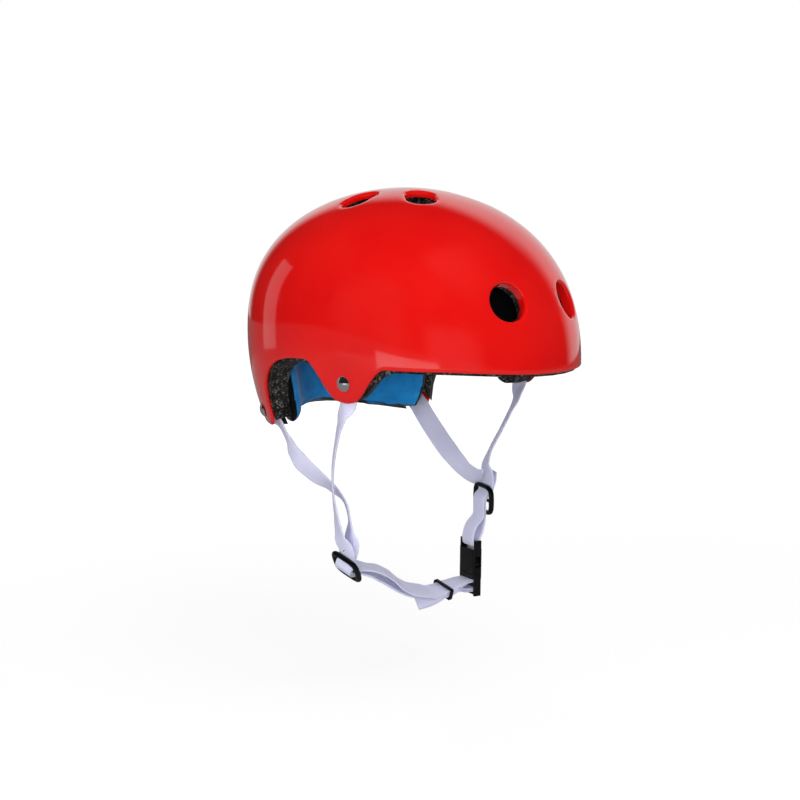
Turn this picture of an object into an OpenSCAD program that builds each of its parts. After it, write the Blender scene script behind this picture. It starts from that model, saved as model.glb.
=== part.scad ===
// Hard-shell sport helmet with foam liner, comfort pads, webbing straps and a side-release buckle.
// X points to the wearer's front, Y to the wearer's left and Z up.
// The origin is the centre of the head opening, just below the middle of the front brim.

/* [Shell] */
// Length of the shell, front to back
shell_l = 281; // [275:1:287]
// Width of the shell over the ears
shell_w = 223; // [219:1:227]
// Height of the crown above the origin
shell_h = 135.5; // [131.5:0.5:139.5]
// Distance from the origin to the front of the shell
front_l = 146.5; // [144.5:0.5:148.5]
// Wall thickness of the moulded shell
shell_t = 2.6; // [2.2:0.1:3]

/* [Rim] */
// Height of the brim's middle above the origin
brim_mid = 1.3; // [1:0.1:1.6]
// Rise of the brim's ends above its middle
brim_rise = 2.7; // [2.3:0.1:3.1]
// Depth of the ear flaps below the origin
flap_drop = 22; // [20:0.5:24]
// Rise of the ear arches above the origin
arch_rise = 8; // [6.5:0.5:9]
// Depth of the nape corners below the origin
nape_drop = 49; // [47:0.5:51]
// Depth of the rear centre of the rim below the origin
nape_mid = 40; // [38.5:0.5:42]
// Radius of the nape corners
nape_r = 6; // [5:0.5:8]

/* [Foam liner] */
// Thickness of the foam liner
foam_t = 14; // [13:0.5:15]
// Gap between the shell and the liner
foam_gap = 0.5; // [0.45:0.05:0.7]
// How far the liner shows below the shell's edge
foam_show = 2.6; // [2:0.1:3]

/* [Vents] */
// Radius of the round front and rear vents
vent_r = 15.5; // [14:0.5:16.5]
// Half width of the oval crown vents
oval_r = 12; // [11:0.5:12.5]
// Distance between the two end centres of a crown vent
oval_run = 9; // [7:0.5:10]
// Distance of the crown vents from the upright axis
oval_ring = 50; // [48:1:52]
// Wall of the lip that lines each vent
lip_t = 2; // [1.6:0.1:2.4]
// Depth of the round vents' lips
lip_deep = 8; // [6:0.5:9]
// Depth of the crown vents' lips
oval_lip_deep = 4.5; // [4:0.5:6]

/* [Pads] */
// Thickness of the comfort pads
pad_t = 10; // [8:0.5:11]
// Thickness of the rear pad
rear_pad_t = 14; // [12:0.5:15]
// Thickness of the hook patches that hold the pads
hook_t = 0.6; // [0.5:0.1:0.8]

/* [Straps] */
// Width of the webbing
web_w = 16; // [15:0.5:16.5]
// Thickness of the webbing
web_t = 1.3; // [1.1:0.1:1.4]
// Radius of the rivet shanks
shank_r = 2; // [1.8:0.1:2.2]
// Radius of the domed rivet heads
rivet_r = 5.6; // [5:0.2:6.2]

/* [Buckle] */
// Width of the buckle
buckle_w = 22; // [21.5:0.5:23]
// Thickness of the buckle
buckle_t = 9; // [8.5:0.25:10]
// Length of the socket's housing
socket_l = 20; // [19:0.5:22]
// Length of the strap adjusters' frames
slider_l = 25; // [24:0.5:27]

/* [Hidden] */
$fn = 48;

RED = "#d8100e";
CHARCOAL = "#26262a";
BLUE = "#1469a5";
BLACK = "#111113";
CHROME = "#c8cace";
LAVENDER = "#dcdcf0";

// Outer surface: half lengths, where each side leaves the upright, and how fast it rounds over
rear_l = shell_l - front_l;
half_w = shell_w / 2;
plan_power = 2.15;
front_turn = [-6, 2.2, 0.02];
side_turn = [26, 2.5, 0.04];
rear_turn = [21, 2.3, 0.07];

// Angles round the rim, from the front, at which its stretches meet
brim_a = 54.8;
brim_quick = 1.4;
flap_front = 67.3;
flap_rear = 73;
arch_front = 90.3;
arch_a = 92;
nape_a = 121;
// How much the flap's lower edge rounds up at its ends, what share of foam_show is seen below it, and how
// many degrees earlier the liner turns down from the brim for each millimetre shown
flap_round = 0.8;
flap_share = 0.15;
flap_lead = 1.4;
// How square the nape's front edge is
arch_power = 2.6;

function lerp(a, b, t) = a + (b - a) * t;
function ease(t) = t * t * (3 - 2 * t);
function unit(v) = v / norm(v);

// Share of the full radius that is left at height z; turn is [start, power, taper below it]
function dome(z, top, turn) = z > turn[0]
    ? sqrt(max(0, 1 - pow(min(1, (z - turn[0]) / (top - turn[0])), turn[1])))
    : 1 - turn[2] * pow((turn[0] - z) / 50, 2);

// Radius of the surface that lies inset below the outer one, at angle a and height z
function skin_r(a, z, inset) =
    let(top = shell_h - inset,
        ends = cos(a) >= 0 ? (front_l - inset) * dome(z, top, front_turn)
            : (rear_l - inset) * dome(z, top, rear_turn),
        sides = (half_w - inset) * dome(z, top, side_turn))
    min(ends, sides) < 0.001 ? 0
        : pow(pow(abs(cos(a)) / ends, plan_power) + pow(abs(sin(a)) / sides, plan_power), -1 / plan_power);
function skin(a, z, inset = 0) =
    let(r = skin_r(a, z, inset)) [r * cos(a), r * sin(a), z];
function skin_out(a, z) =
    unit(cross(skin(a + 0.5, z) - skin(a - 0.5, z), skin(a, z + 0.5) - skin(a, z - 0.5)));

// Height at which the outer surface has radius r, found by halving
function height_at(a, r, low, high, n = 20) =
    let(mid = (low + high) / 2)
    n == 0 ? mid
        : skin_r(a, mid, 0) > r ? height_at(a, r, mid, high, n - 1) : height_at(a, r, low, mid, n - 1);

// The rim from the front centre round one side to the rear centre, as [angle, height];
// show moves it out of the shell's edge, for the liner
function rim_side(show) =
    let(corner_a = nape_r / half_w * 57.3, edge_a = nape_a - show / half_w * 57.3,
        brim_end = brim_mid + brim_rise - show, flap_end = flap_round - flap_drop - show * flap_share,
        arch_top = arch_rise - show, deep = arch_rise + nape_drop - nape_r, round = 2 / arch_power)
    concat(
        [for (i = [0:7]) [brim_a * i / 8, brim_mid + brim_rise * ease(min(1, brim_quick * i / 8)) - show]],
        [for (i = [0:5]) [lerp(brim_a - flap_lead * show, flap_front, i / 6),
            lerp(brim_end, flap_end, ease(i / 6))]],
        [for (i = [0:3]) [lerp(flap_front, flap_rear, i / 4), flap_end - flap_round * sin(45 * i)]],
        [for (i = [0:6]) [lerp(flap_rear, arch_front, i / 7), lerp(flap_end, arch_top, ease(i / 7))]],
        [for (i = [0:7]) [lerp(arch_a, edge_a, pow(sin(90 * i / 8), round)),
            arch_top - deep * (1 - pow(cos(90 * i / 8), round))]],
        [for (i = [0:2]) [edge_a + corner_a * (1 - cos(30 * i)),
            nape_r - nape_drop - show - nape_r * sin(30 * i)]],
        [for (i = [0:8]) [lerp(edge_a + corner_a, 180, i / 8),
            -show - lerp(nape_drop, nape_mid, ease(i / 8))]]);
function rim(show) =
    let(side = rim_side(show), n = len(side))
    concat(side, [for (i = [1:n - 2]) let(p = side[n - 1 - i]) [360 - p[0], p[1]]]);

// One closed wall between two insets of the surface, down to the rim
rows = 17;
module wall(outer, inner, show) {
    edge = rim(show);
    n = len(edge);
    function sheet(inset) =
        let(top = shell_h - inset)
        concat([[0, 0, top]],
            [for (j = [1:rows]) for (i = [0:n - 1])
                let(t = j / rows, a = lerp(360 * i / n, edge[i][0], ease(t)))
                skin(a, lerp(edge[i][1], top, cos(90 * t)), inset)]);
    function at(j, i) = 1 + (j - 1) * n + (i + n) % n;
    function faces(base, flip) =
        let(caps = [for (i = [0:n - 1]) [base, at(1, i) + base, at(1, i + 1) + base]],
            quads = [for (j = [1:rows - 1]) for (i = [0:n - 1]) each [
                [at(j, i) + base, at(j + 1, i) + base, at(j + 1, i + 1) + base],
                [at(j, i) + base, at(j + 1, i + 1) + base, at(j, i + 1) + base]]],
            all = concat(caps, quads))
        flip ? [for (f = all) [f[0], f[2], f[1]]] : all;
    base = 1 + rows * n;
    band = [for (i = [0:n - 1]) each [
        [at(rows, i), at(rows, i) + base, at(rows, i + 1) + base],
        [at(rows, i), at(rows, i + 1) + base, at(rows, i + 1)]]];
    polyhedron(points = concat(sheet(outer), sheet(inner)),
        faces = [for (f = concat(faces(0, false), faces(base, true), band)) [f[0], f[2], f[1]]],
        convexity = 6);
}

// Places its children on the outer surface: X along the rim, Y up the surface, Z outwards
module on_skin(a, z) {
    out = skin_out(a, z);
    side = unit(cross([0, 0, 1], out));
    up = cross(out, side);
    p = skin(a, z);
    multmatrix([[side[0], up[0], out[0], p[0]], [side[1], up[1], out[1], p[1]],
        [side[2], up[2], out[2], p[2]], [0, 0, 0, 1]]) children();
}

// Places its children at p with X and Z along two given directions
module in_frame(p, x, z) {
    y = cross(z, x);
    multmatrix([[x[0], y[0], z[0], p[0]], [x[1], y[1], z[1], p[1]], [x[2], y[2], z[2], p[2]], [0, 0, 0, 1]])
        children();
}

// Vents: two round ones at the front, two at the rear, and a ring of six ovals round the crown
ROUND_VENTS = [[15, 52.5], [-15, 52.5], [164, 50], [-164, 50]];
OVAL_ANGLES = [-152, -94, -36, 36, 94, 152];
lip_sink = 1.8;
lip_gap = 0.6;
cut_deep = 40;

module oval(r, deep) {
    for (side = [-1, 1]) translate([0, side * oval_run / 2, -deep]) cylinder(r = r, h = deep);
    translate([-r, -oval_run / 2, -deep]) cube([2 * r, oval_run, deep]);
}
module at_round_vents() for (v = ROUND_VENTS) on_skin(v[0], v[1]) children();
module at_oval_vents() for (a = OVAL_ANGLES) on_skin(a, height_at(a, oval_ring, 60, shell_h)) children();
module vent_cuts(extra) {
    at_round_vents() translate([0, 0, -cut_deep]) cylinder(r = vent_r + extra, h = cut_deep + 5);
    at_oval_vents() translate([0, 0, 5]) oval(oval_r + extra, cut_deep + 5);
}

// Rivets: where they sit, and how deep each layer under the shell lies
SIDE_RIVET = [70.7, -8.2];
REAR_RIVET = [130, -39.4];
web_depth = shell_t + 0.7;
washer_t = 1;
washer_depth = web_depth + web_t + 0.3;
tail_t = 1.2;
hole_gap = 0.15;
module at_rivets(place) for (s = [-1, 1]) on_skin(s * place[0], place[1]) children();

// Shell with its vent lips, each a short tube that lines the vent
module outer_shell() color(RED) difference() {
    union() {
        wall(0, shell_t, 0);
        at_round_vents() translate([0, 0, -lip_sink - lip_deep]) difference() {
            cylinder(r = vent_r + lip_t, h = lip_deep);
            translate([0, 0, -1]) cylinder(r = vent_r, h = lip_deep + 2);
        }
        at_oval_vents() translate([0, 0, -lip_sink]) difference() {
            oval(oval_r + lip_t, oval_lip_deep);
            translate([0, 0, 1]) oval(oval_r, oval_lip_deep + 2);
        }
    }
    vent_cuts(0);
    for (place = [SIDE_RIVET, REAR_RIVET]) at_rivets(place)
        translate([0, 0, -10]) cylinder(r = shank_r + hole_gap, h = 12);
}

// Pockets in the liner's outer face for the strap ends, washers and rivet tails, and slots that let
// the rear straps out through the liner
pocket_deep = washer_depth + washer_t + tail_t + 0.6;
pocket_w = web_w + 2.4;
slot_w = web_w + 5;
pocket_top = 14;
side_low = 30;
rear_low = 40;
slot_top = 5;
SIDE_RUN = [0, 0, -1];
REAR_RUN = unit([0.75, 0, -0.66]);
strap_behind = 7.4;
side_end = 14;
rear_end = 14;
rear_bend = 0.05;

// Direction in the skin's tangent plane at a rivet that lies nearest to the run, on side s
function tangent(place, s, run) =
    let(out = skin_out(s * place[0], place[1])) unit(run - out * (run * out));
module strap_pocket(place, s, run, width, start, low, deep) {
    down = tangent(place, s, run);
    out = skin_out(s * place[0], place[1]);
    in_frame(skin(s * place[0], place[1]), cross(down, out), out)
        translate([-width / 2, start, -deep]) cube([width, low - start, deep + shell_t]);
}

foam_out = shell_t + foam_gap;
foam_in = foam_out + foam_t;
module foam_liner() color(CHARCOAL) difference() {
    wall(foam_out, foam_in, foam_show);
    vent_cuts(lip_t + lip_gap);
    for (s = [-1, 1]) {
        strap_pocket(SIDE_RIVET, s, SIDE_RUN, pocket_w, -pocket_top, side_low, pocket_deep);
        strap_pocket(REAR_RIVET, s, REAR_RUN, pocket_w, -pocket_top, rear_low, pocket_deep);
        strap_pocket(REAR_RIVET, s, REAR_RUN, slot_w, slot_top, rear_low, foam_in + 4);
    }
}

// Pads: soft patches on the liner's inner face, crowned, with rounded corners and drawn-in sides
pad_gap = 0.9;
hook_in = foam_in + pad_gap;
pad_back = hook_in + hook_t + 0.3;
// Where a pad's point u, v lies, as [angle, height]; pad is [first angle, last angle, low edge, high
// edge, how far its ends hang below the middle, how far its corners draw in]
dip_share = 0.75;
function pad_map(u, v, pad) =
    let(x = u * sqrt(1 - pad[5] * v * v), y = v * sqrt(1 - pad[5] * u * u),
        dip = pad[4] * ease(min(1, abs(x) / dip_share)))
    [lerp(pad[0], pad[1], 0.5 + 0.5 * x), lerp(pad[2] - dip, pad[3], 0.5 + 0.5 * y)];

// A closed patch: its back lies at depth back, and its face stands thick inwards; the higher its two
// powers are, the blunter its ends and its long edges
module patch(pad, back, thick, powers, nu, nv) {
    function uv(i, n) = -cos(180 * i / n);
    function puff(u, v) = thick * sqrt(max(0, (1 - pow(abs(u), powers[0])) * (1 - pow(abs(v), powers[1]))));
    function point(i, j, face) =
        let(u = uv(i, nu), v = uv(j, nv), m = pad_map(u, v, pad))
        skin(m[0], m[1], back + (face ? puff(u, v) : 0));
    closed_patch(nv, nu, [for (j = [0:nv]) for (i = [0:nu]) point(i, j, false)],
        [for (j = [0:nv]) for (i = [0:nu]) point(i, j, true)]);
}

// Joins two grids of (nu + 1) by (nv + 1) points that share their border into one solid
module closed_patch(nu, nv, rear, face) {
    wide = nv + 1;
    n = (nu + 1) * wide;
    function border(i, j) = i == 0 || j == 0 || i == nu || j == nv;
    function id(i, j, front) = i * wide + j + (front && !border(i, j) ? n : 0);
    // Each quad is split along the diagonal that doesn't cut a corner of the border off
    function split(q, same) = same ? [[q[0], q[1], q[2]], [q[0], q[2], q[3]]]
        : [[q[1], q[2], q[3]], [q[1], q[3], q[0]]];
    function quad(i, j, front) =
        let(same = (i < nu / 2) == (j < nv / 2),
            q = [id(i, j, front), id(i, j + 1, front), id(i + 1, j + 1, front), id(i + 1, j, front)])
        split(front ? q : [q[0], q[3], q[2], q[1]], same);
    polyhedron(points = concat(rear, face),
        faces = [for (i = [0:nu - 1]) for (j = [0:nv - 1]) for (front = [true, false])
            for (f = quad(i, j, front)) f],
        convexity = 4);
}

PAD_FRONT = [-44, 44, 4, 35, 0, 0.3];
PAD_REAR = [121, 239, -nape_mid - 3.5, 14, nape_drop - nape_mid - 1.2, 0.15];
PAD_SIDE = [64, 112, 18, 60, 0, 0.3];
SOFT_EDGES = [6, 6];
BLUNT_ENDS = [16, 6];
crown_pad_r = 30;

module front_pad() color(BLUE)
    patch(PAD_FRONT, pad_back, pad_t, SOFT_EDGES, 14, 8);
module rear_pad() color(BLUE)
    patch(PAD_REAR, pad_back, rear_pad_t, BLUNT_ENDS, 20, 8);
module side_pad(s) color(BLUE) mirror([0, s < 0 ? 1 : 0, 0])
    patch(PAD_SIDE, pad_back, pad_t, SOFT_EDGES, 10, 8);
module side_pad_left() side_pad(1);
module side_pad_right() side_pad(-1);

// Point of the surface above plan position [x, y]
function over(x, y, inset) =
    let(a = atan2(y, x), r = norm([x, y]))
    [x, y, cap_height(a, r, inset, 40, shell_h - inset)];
function cap_height(a, r, inset, low, high, n = 22) =
    let(mid = (low + high) / 2)
    n == 0 ? mid : skin_r(a, mid, inset) > r ? cap_height(a, r, inset, mid, high, n - 1)
        : cap_height(a, r, inset, low, mid, n - 1);
module crown_disc(radius, back, thick, power, n) {
    function uv(i) = -cos(180 * i / n);
    function point(i, j, face) =
        let(u = uv(i), v = uv(j), x = u * sqrt(1 - v * v / 2), y = v * sqrt(1 - u * u / 2),
            up = thick * sqrt(max(0, (1 - pow(abs(u), power)) * (1 - pow(abs(v), power)))))
        over(radius * x, radius * y, back) - [0, 0, face ? up : 0];
    closed_patch(n, n, [for (j = [0:n]) for (i = [0:n]) point(i, j, false)],
        [for (j = [0:n]) for (i = [0:n]) point(i, j, true)]);
}
module crown_pad() color(BLUE) crown_disc(crown_pad_r, pad_back, pad_t, 4, 10);

// Hook patches glued to the liner behind the pads
hook_w = 22;
module hook_patch(a, z) {
    span = hook_w / 2 / skin_r(a, z, hook_in) * 57.3;
    patch([a - span, a + span, z - hook_w / 2, z + hook_w / 2, 0, 0.3], hook_in - 0.2, hook_t, [12, 12],
        4, 4);
}
module hook_patches() color(BLACK) {
    for (a = [-28, 28]) hook_patch(a, (PAD_FRONT[2] + PAD_FRONT[3]) / 2);
    for (a = [145, 180, 215]) hook_patch(a, (PAD_REAR[2] + PAD_REAR[3]) / 2);
    for (s = [-1, 1]) hook_patch(s * (PAD_SIDE[0] + PAD_SIDE[1]) / 2, (PAD_SIDE[2] + PAD_SIDE[3]) / 2);
    crown_disc(hook_w / 2, hook_in - 0.2, hook_t, 12, 4);
}

// Rivets: domed head outside, shank through shell, strap and washer, and a formed tail
head_h = 2.6;
module rivet() {
    ball = (rivet_r * rivet_r + head_h * head_h) / (2 * head_h);
    seat = 0.25;
    tail_end = washer_depth + washer_t + tail_t;
    rotate_extrude() {
        intersection() {
            translate([0, seat + head_h - ball]) circle(r = ball, $fn = 96);
            translate([0, seat]) square([rivet_r, head_h]);
        }
        translate([0, -tail_end]) square([shank_r, tail_end + seat + 0.5]);
        translate([0, -tail_end]) square([shank_r + 1.2, tail_t - 0.1]);
    }
}
module side_rivets() color(CHROME) at_rivets(SIDE_RIVET) rivet();
module rear_rivets() color(CHROME) at_rivets(REAR_RIVET) rivet();
module rivet_washers() color(CHROME)
    for (place = [SIDE_RIVET, REAR_RIVET]) at_rivets(place)
        translate([0, 0, -washer_depth - washer_t]) difference() {
            cylinder(r = rivet_r, h = washer_t);
            translate([0, 0, -1]) cylinder(r = shank_r + hole_gap, h = washer_t + 2);
        }

// Webbing: a flat band swept along stations of [centre, width direction, share, shift]
web_step = 5;
// Smooth curve from b to c, whose slopes allow for uneven spacing of the points
function chord(p, q) = norm(q - p) > 0 ? (q - p) / norm(q - p) : [0, 0, 0];
function slope(a, b, c) =
    let(before = norm(b - a), after = norm(c - b))
    before == 0 ? chord(b, c) : after == 0 ? chord(a, b)
        : (chord(b, c) * before + chord(a, b) * after) / (before + after);
function spline(a, b, c, d, t) =
    let(span = norm(c - b))
    b * (2 * pow(t, 3) - 3 * t * t + 1) + slope(a, b, c) * span * (pow(t, 3) - 2 * t * t + t)
        + c * (3 * t * t - 2 * pow(t, 3)) + slope(b, c, d) * span * (pow(t, 3) - t * t);
function part(key, i) = len(key) > i ? key[i] : 0;
function stations(keys, before = [], after = []) =
    let(n = len(keys), k = concat(before, keys, after), m = len(before))
    concat([for (i = [m:m + n - 2])
        let(a = k[max(0, i - 1)], b = k[i], c = k[i + 1], d = k[min(len(k) - 1, i + 2)],
            parts = max(1, round(norm(c[0] - b[0]) / web_step)))
        for (j = [0:parts - 1]) let(t = j / parts)
            [spline(a[0], b[0], c[0], d[0], t), unit(lerp(b[1], c[1], ease(t))),
                lerp(part(b, 2), part(c, 2), t), lerp(part(b, 3), part(c, 3), t)]], [k[m + n - 1]]);
function along(s, i) = unit(s[min(len(s) - 1, i + 1)][0] - s[max(0, i - 1)][0]);
function face_way(s, i) = unit(cross(along(s, i), s[i][1]));

// Moves stations off their line along the band's face, by their own share of lift and their own shift
function lifted(s, lift) = [for (i = [0:len(s) - 1])
    [s[i][0] + face_way(s, i) * (lift * part(s[i], 2) + part(s[i], 3)), s[i][1]]];
function flipped(keys) = [for (i = [len(keys) - 1:-1:0]) keys[i]];

// Joins stretches of stations, with splines through the keys that lead from one to the next
function lead(keys, next) =
    let(s = stations(concat(keys, [next[0]]), [], [next[1]])) [for (i = [0:len(s) - 2]) s[i]];
function link(last, keys, next) =
    let(n = len(last), s = stations(concat([last[n - 1]], keys, [next[0]]), [last[n - 2]], [next[1]]))
    [for (i = [1:len(s) - 2]) s[i]];

module webbing(s) {
    n = len(s);
    corners = [for (i = [0:n - 1])
        let(f = face_way(s, i), w = cross(f, along(s, i)) * web_w / 2, h = f * web_t / 2)
        each [s[i][0] - w - h, s[i][0] + w - h, s[i][0] + w + h, s[i][0] - w + h]];
    // Both faces are split along the same diagonal, so a twisted stretch keeps its thickness
    sides = [for (i = [0:n - 2]) for (k = [0:3])
        let(a = 4 * i + k, b = 4 * i + (k + 1) % 4)
        each k < 2 ? [[a, b + 4, b], [a, a + 4, b + 4]] : [[a, a + 4, b], [b, a + 4, b + 4]]];
    polyhedron(points = corners, faces = concat([[0, 1, 2], [0, 2, 3]], sides,
        [[4 * n - 4, 4 * n - 2, 4 * n - 3], [4 * n - 4, 4 * n - 1, 4 * n - 2]]), convexity = 8);
}

// Strap end behind a rivet: it starts above the rivet, runs down and bends inwards with the shell
function strap_end(place, s, run, long, bend) =
    let(down = tangent(place, s, run), out = skin_out(s * place[0], place[1]), w = s * cross(down, out),
        p = skin(s * place[0], place[1]) - out * (web_depth + web_t / 2))
    [for (d = [-strap_behind, 0, long / 2, long]) [p + down * d - out * bend * pow(max(0, d - rivet_r), 2), w]];

// Slider: an oval frame with a middle bar; the strap passes behind, over and behind
slider_w = 28;
slider_t = 2.4;
rail = 3.5;
wave_h = 3.7;
SLIDER_RIGHT_AT = [10.6, -75.7, -152.5];
SLIDER_RIGHT_X = unit([0.93, 0.1, -0.35]);
SLIDER_RIGHT_Z = unit([-0.13, -0.8, -0.58]);
SLIDER_LEFT_AT = [25.6, 69.7, -117.8];
SLIDER_LEFT_X = unit([0.95, -0.29, -0.09]);
SLIDER_LEFT_Z = unit([-0.3, -0.95, -0.07]);

// Makes z square to x
function square_to(x, z) = unit(z - x * (x * z));
// The way through a frame, from above: behind the top rail and over the middle bar, then out over
// the bottom rail or straight out of the lower slot; each point is [distance down, height in front]
// and may end with the plies' share of their distance apart
rail_mid = slider_l / 2 - rail / 2;
IN_OVER = [[2.4 - rail_mid, -3], [-5.2, -0.4], [-2.6, 2.6], [0, 3.6]];
OUT_FRONT = concat([[-rail_mid - 4, -5.4, 1.4], [-rail_mid, -4.1]], IN_OVER,
    [[5.2, 3.8], [rail_mid, 3.8], [rail_mid + 2, 3.8]]);
OUT_BACK = concat([[-rail_mid - 4, -6, 2.2], [-rail_mid, -4.1, 1.25]], IN_OVER,
    [[2.6, 2.7], [4.7, 0.8], [6.3, -1.5, 1.15], [7.5, -4.2, 1.35]]);
function thread(points, at, x, z) =
    let(out = square_to(x, z), up = cross(out, x))
    [for (p = points) [at - up * p[0] + out * p[1], x, len(p) > 2 ? p[2] : 1]];

module slider(at, x, z) in_frame(at, x, square_to(x, z)) difference() {
    linear_extrude(slider_t, center = true) difference() {
        rounded(slider_w, slider_l, 8);
        for (s = [-1, 1]) {
            low = 1.4;
            high = slider_l / 2 - rail;
            translate([-web_w / 2 - 1, s > 0 ? low : -high]) square([web_w + 2, high - low]);
        }
    }
}
module rounded(w, l, r) {
    square([w - 2 * r, l], center = true);
    square([w, l - 2 * r], center = true);
    for (x = [-1, 1]) for (y = [-1, 1]) translate([x * (w / 2 - r), y * (l / 2 - r)]) circle(r = r);
}
module slider_right() color(BLACK) slider(SLIDER_RIGHT_AT, SLIDER_RIGHT_X, SLIDER_RIGHT_Z);
module slider_left() color(BLACK) slider(SLIDER_LEFT_AT, SLIDER_LEFT_X, SLIDER_LEFT_Z);

// Buckle: upright, with its width along X; the socket is above and the plug below
BUCKLE_AT = [22, 58.5, -174];
buckle_turn = -16;
BUCKLE_X = [cos(buckle_turn), sin(buckle_turn), 0];
BUCKLE_Y = [-sin(buckle_turn), cos(buckle_turn), 0];
bar_r = 1.8;
ply = web_t + 0.3;
socket_low = -4;
socket_top = socket_low + socket_l;
loop_z = socket_top + 0.3 + ply + bar_r + web_t / 2 + 0.6;
lug_w = (buckle_w - web_w) / 2 - 0.8;
cavity_w = buckle_w - 3.6;
cavity_t = buckle_t - 3.2;
roof_t = 3;
window_low = 1;
window_h = 9;
module block(w, t, low, high) translate([-w / 2, -t / 2, low]) cube([w, t, high - low]);
module buckle_body(w, t, low, high, r) translate([0, 0, low])
    linear_extrude(high - low) rounded(w, t, r);
module lugs(low, high) for (s = [-1, 1])
    translate([s * (buckle_w / 2 - lug_w / 2), 0, 0]) block(lug_w, buckle_t - 3, low, high);
module cross_bar(z, r)
    translate([-buckle_w / 2 + 1, 0, z]) rotate([0, 90, 0]) cylinder(r = r, h = buckle_w - 2);

module at_buckle() translate(BUCKLE_AT) rotate([0, 0, buckle_turn]) children();

module buckle_socket() color(BLACK) at_buckle() {
    difference() {
        buckle_body(buckle_w, buckle_t, socket_low, socket_top, 2.5);
        block(cavity_w, cavity_t, socket_low - 1, socket_top - roof_t);
        block(buckle_w + 2, cavity_t - 0.6, window_low, window_low + window_h);
    }
    lugs(socket_top - 0.5, loop_z + bar_r + 0.6);
    cross_bar(loop_z, bar_r);
}

fit_gap = 0.3;
plug_top = socket_low - fit_gap;
plug_block = 4.6;
plug_wrap = bar_r + 0.3 + 2 * ply;
lock_z = plug_top - plug_block - plug_wrap - 0.3;
end_r = 1.5;
end_z = lock_z - plug_wrap - end_r - 0.3;
prong_root = 0.4;
module buckle_plug() color(BLACK) at_buckle() {
    buckle_body(buckle_w, buckle_t, plug_top - plug_block, plug_top, 2.5);
    block(5, cavity_t - 1, plug_top - 1, socket_top - roof_t - 3);
    lugs(end_z - end_r, plug_top - plug_block + 0.5);
    cross_bar(lock_z, bar_r);
    cross_bar(end_z, end_r);
}

// Prongs: spring arms with a barb that catches in the socket's window
prong_x = cavity_w / 2 - 0.4;
prong_t = 2.4;
barb_out = 1.3;
prong_top = window_low + window_h - 1;
module prong(s) color(BLACK) at_buckle() mirror([s < 0 ? 1 : 0, 0, 0])
    translate([0, (cavity_t - 1.4) / 2, 0]) rotate([90, 0, 0]) linear_extrude(cavity_t - 1.4)
        polygon([[prong_x - prong_t, plug_top + prong_root], [prong_x, plug_top + prong_root],
            [prong_x, window_low + 0.6], [prong_x + barb_out, window_low + 0.8],
            [prong_x + barb_out, window_low + 3.5], [prong_x - 0.4, prong_top],
            [prong_x - prong_t, prong_top - 1]]);
module prong_front() prong(1);
module prong_rear() prong(-1);

// The left strap: down from the side rivet, round the socket's bar, and up to the rear rivet
loop_at = BUCKLE_AT + [0, 0, loop_z];
loop_r = bar_r + 0.3 + web_t / 2;
left_thread = stations(thread(OUT_FRONT, SLIDER_LEFT_AT, SLIDER_LEFT_X, SLIDER_LEFT_Z));
left_down = lifted(left_thread, ply / 2);
left_up = flipped(lifted(left_thread, -ply / 2));
left_loop = [for (i = [0:8])
    [loop_at + loop_r * (-BUCKLE_Y * cos(22.5 * i) - [0, 0, sin(22.5 * i)]), BUCKLE_X]];
LOOP_DOWN = [[[20.6, 60.3, -140], [0.95, -0.31, -0.08]]];
LOOP_UP = [[[23, 66.8, -142], [0.95, -0.31, -0.08]]];
LEFT_FRONT_MID = [[[38.6, 95, -34], [0.78, -0.6, -0.15]], [[34.8, 93.1, -43.7], [0.68, -0.73, -0.08]],
    [[27.6, 88, -62.5], [0.7, -0.71, 0.03]], [[22.2, 81.7, -79], [0.72, -0.68, 0.1]],
    [[21.3, 76.5, -91.5], [0.84, -0.52, 0.08]]];
LEFT_REAR_MID = [[[-49.8, 79.5, -55.4], [0.58, 0.6, 0.55]], [[-35.6, 78.6, -69.6], [0.58, 0.6, 0.55]],
    [[-22.5, 77.2, -81], [0.6, 0.5, 0.62]], [[-10, 77, -91.3], [0.62, 0.15, 0.77]],
    [[0.5, 78.3, -99.3], [0.6, -0.12, 0.8]], [[12.5, 79.5, -103.5], [0.74, -0.25, 0.62]]];
left_strap_line = concat(
    lead(concat(strap_end(SIDE_RIVET, 1, SIDE_RUN, side_end, 0), LEFT_FRONT_MID), left_down), left_down,
    link(left_down, LOOP_DOWN, left_loop), left_loop, link(left_loop, LOOP_UP, left_up), left_up,
    flipped(lead(concat(strap_end(REAR_RIVET, 1, REAR_RUN, rear_end, rear_bend), LEFT_REAR_MID),
        flipped(left_up))));
module strap_holes(places) for (p = places) on_skin(p[0], p[1])
    translate([0, 0, -10]) cylinder(r = shank_r + hole_gap, h = 12);
module left_strap() color(LAVENDER) difference() {
    webbing(left_strap_line);
    strap_holes([SIDE_RIVET, REAR_RIVET]);
}

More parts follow.
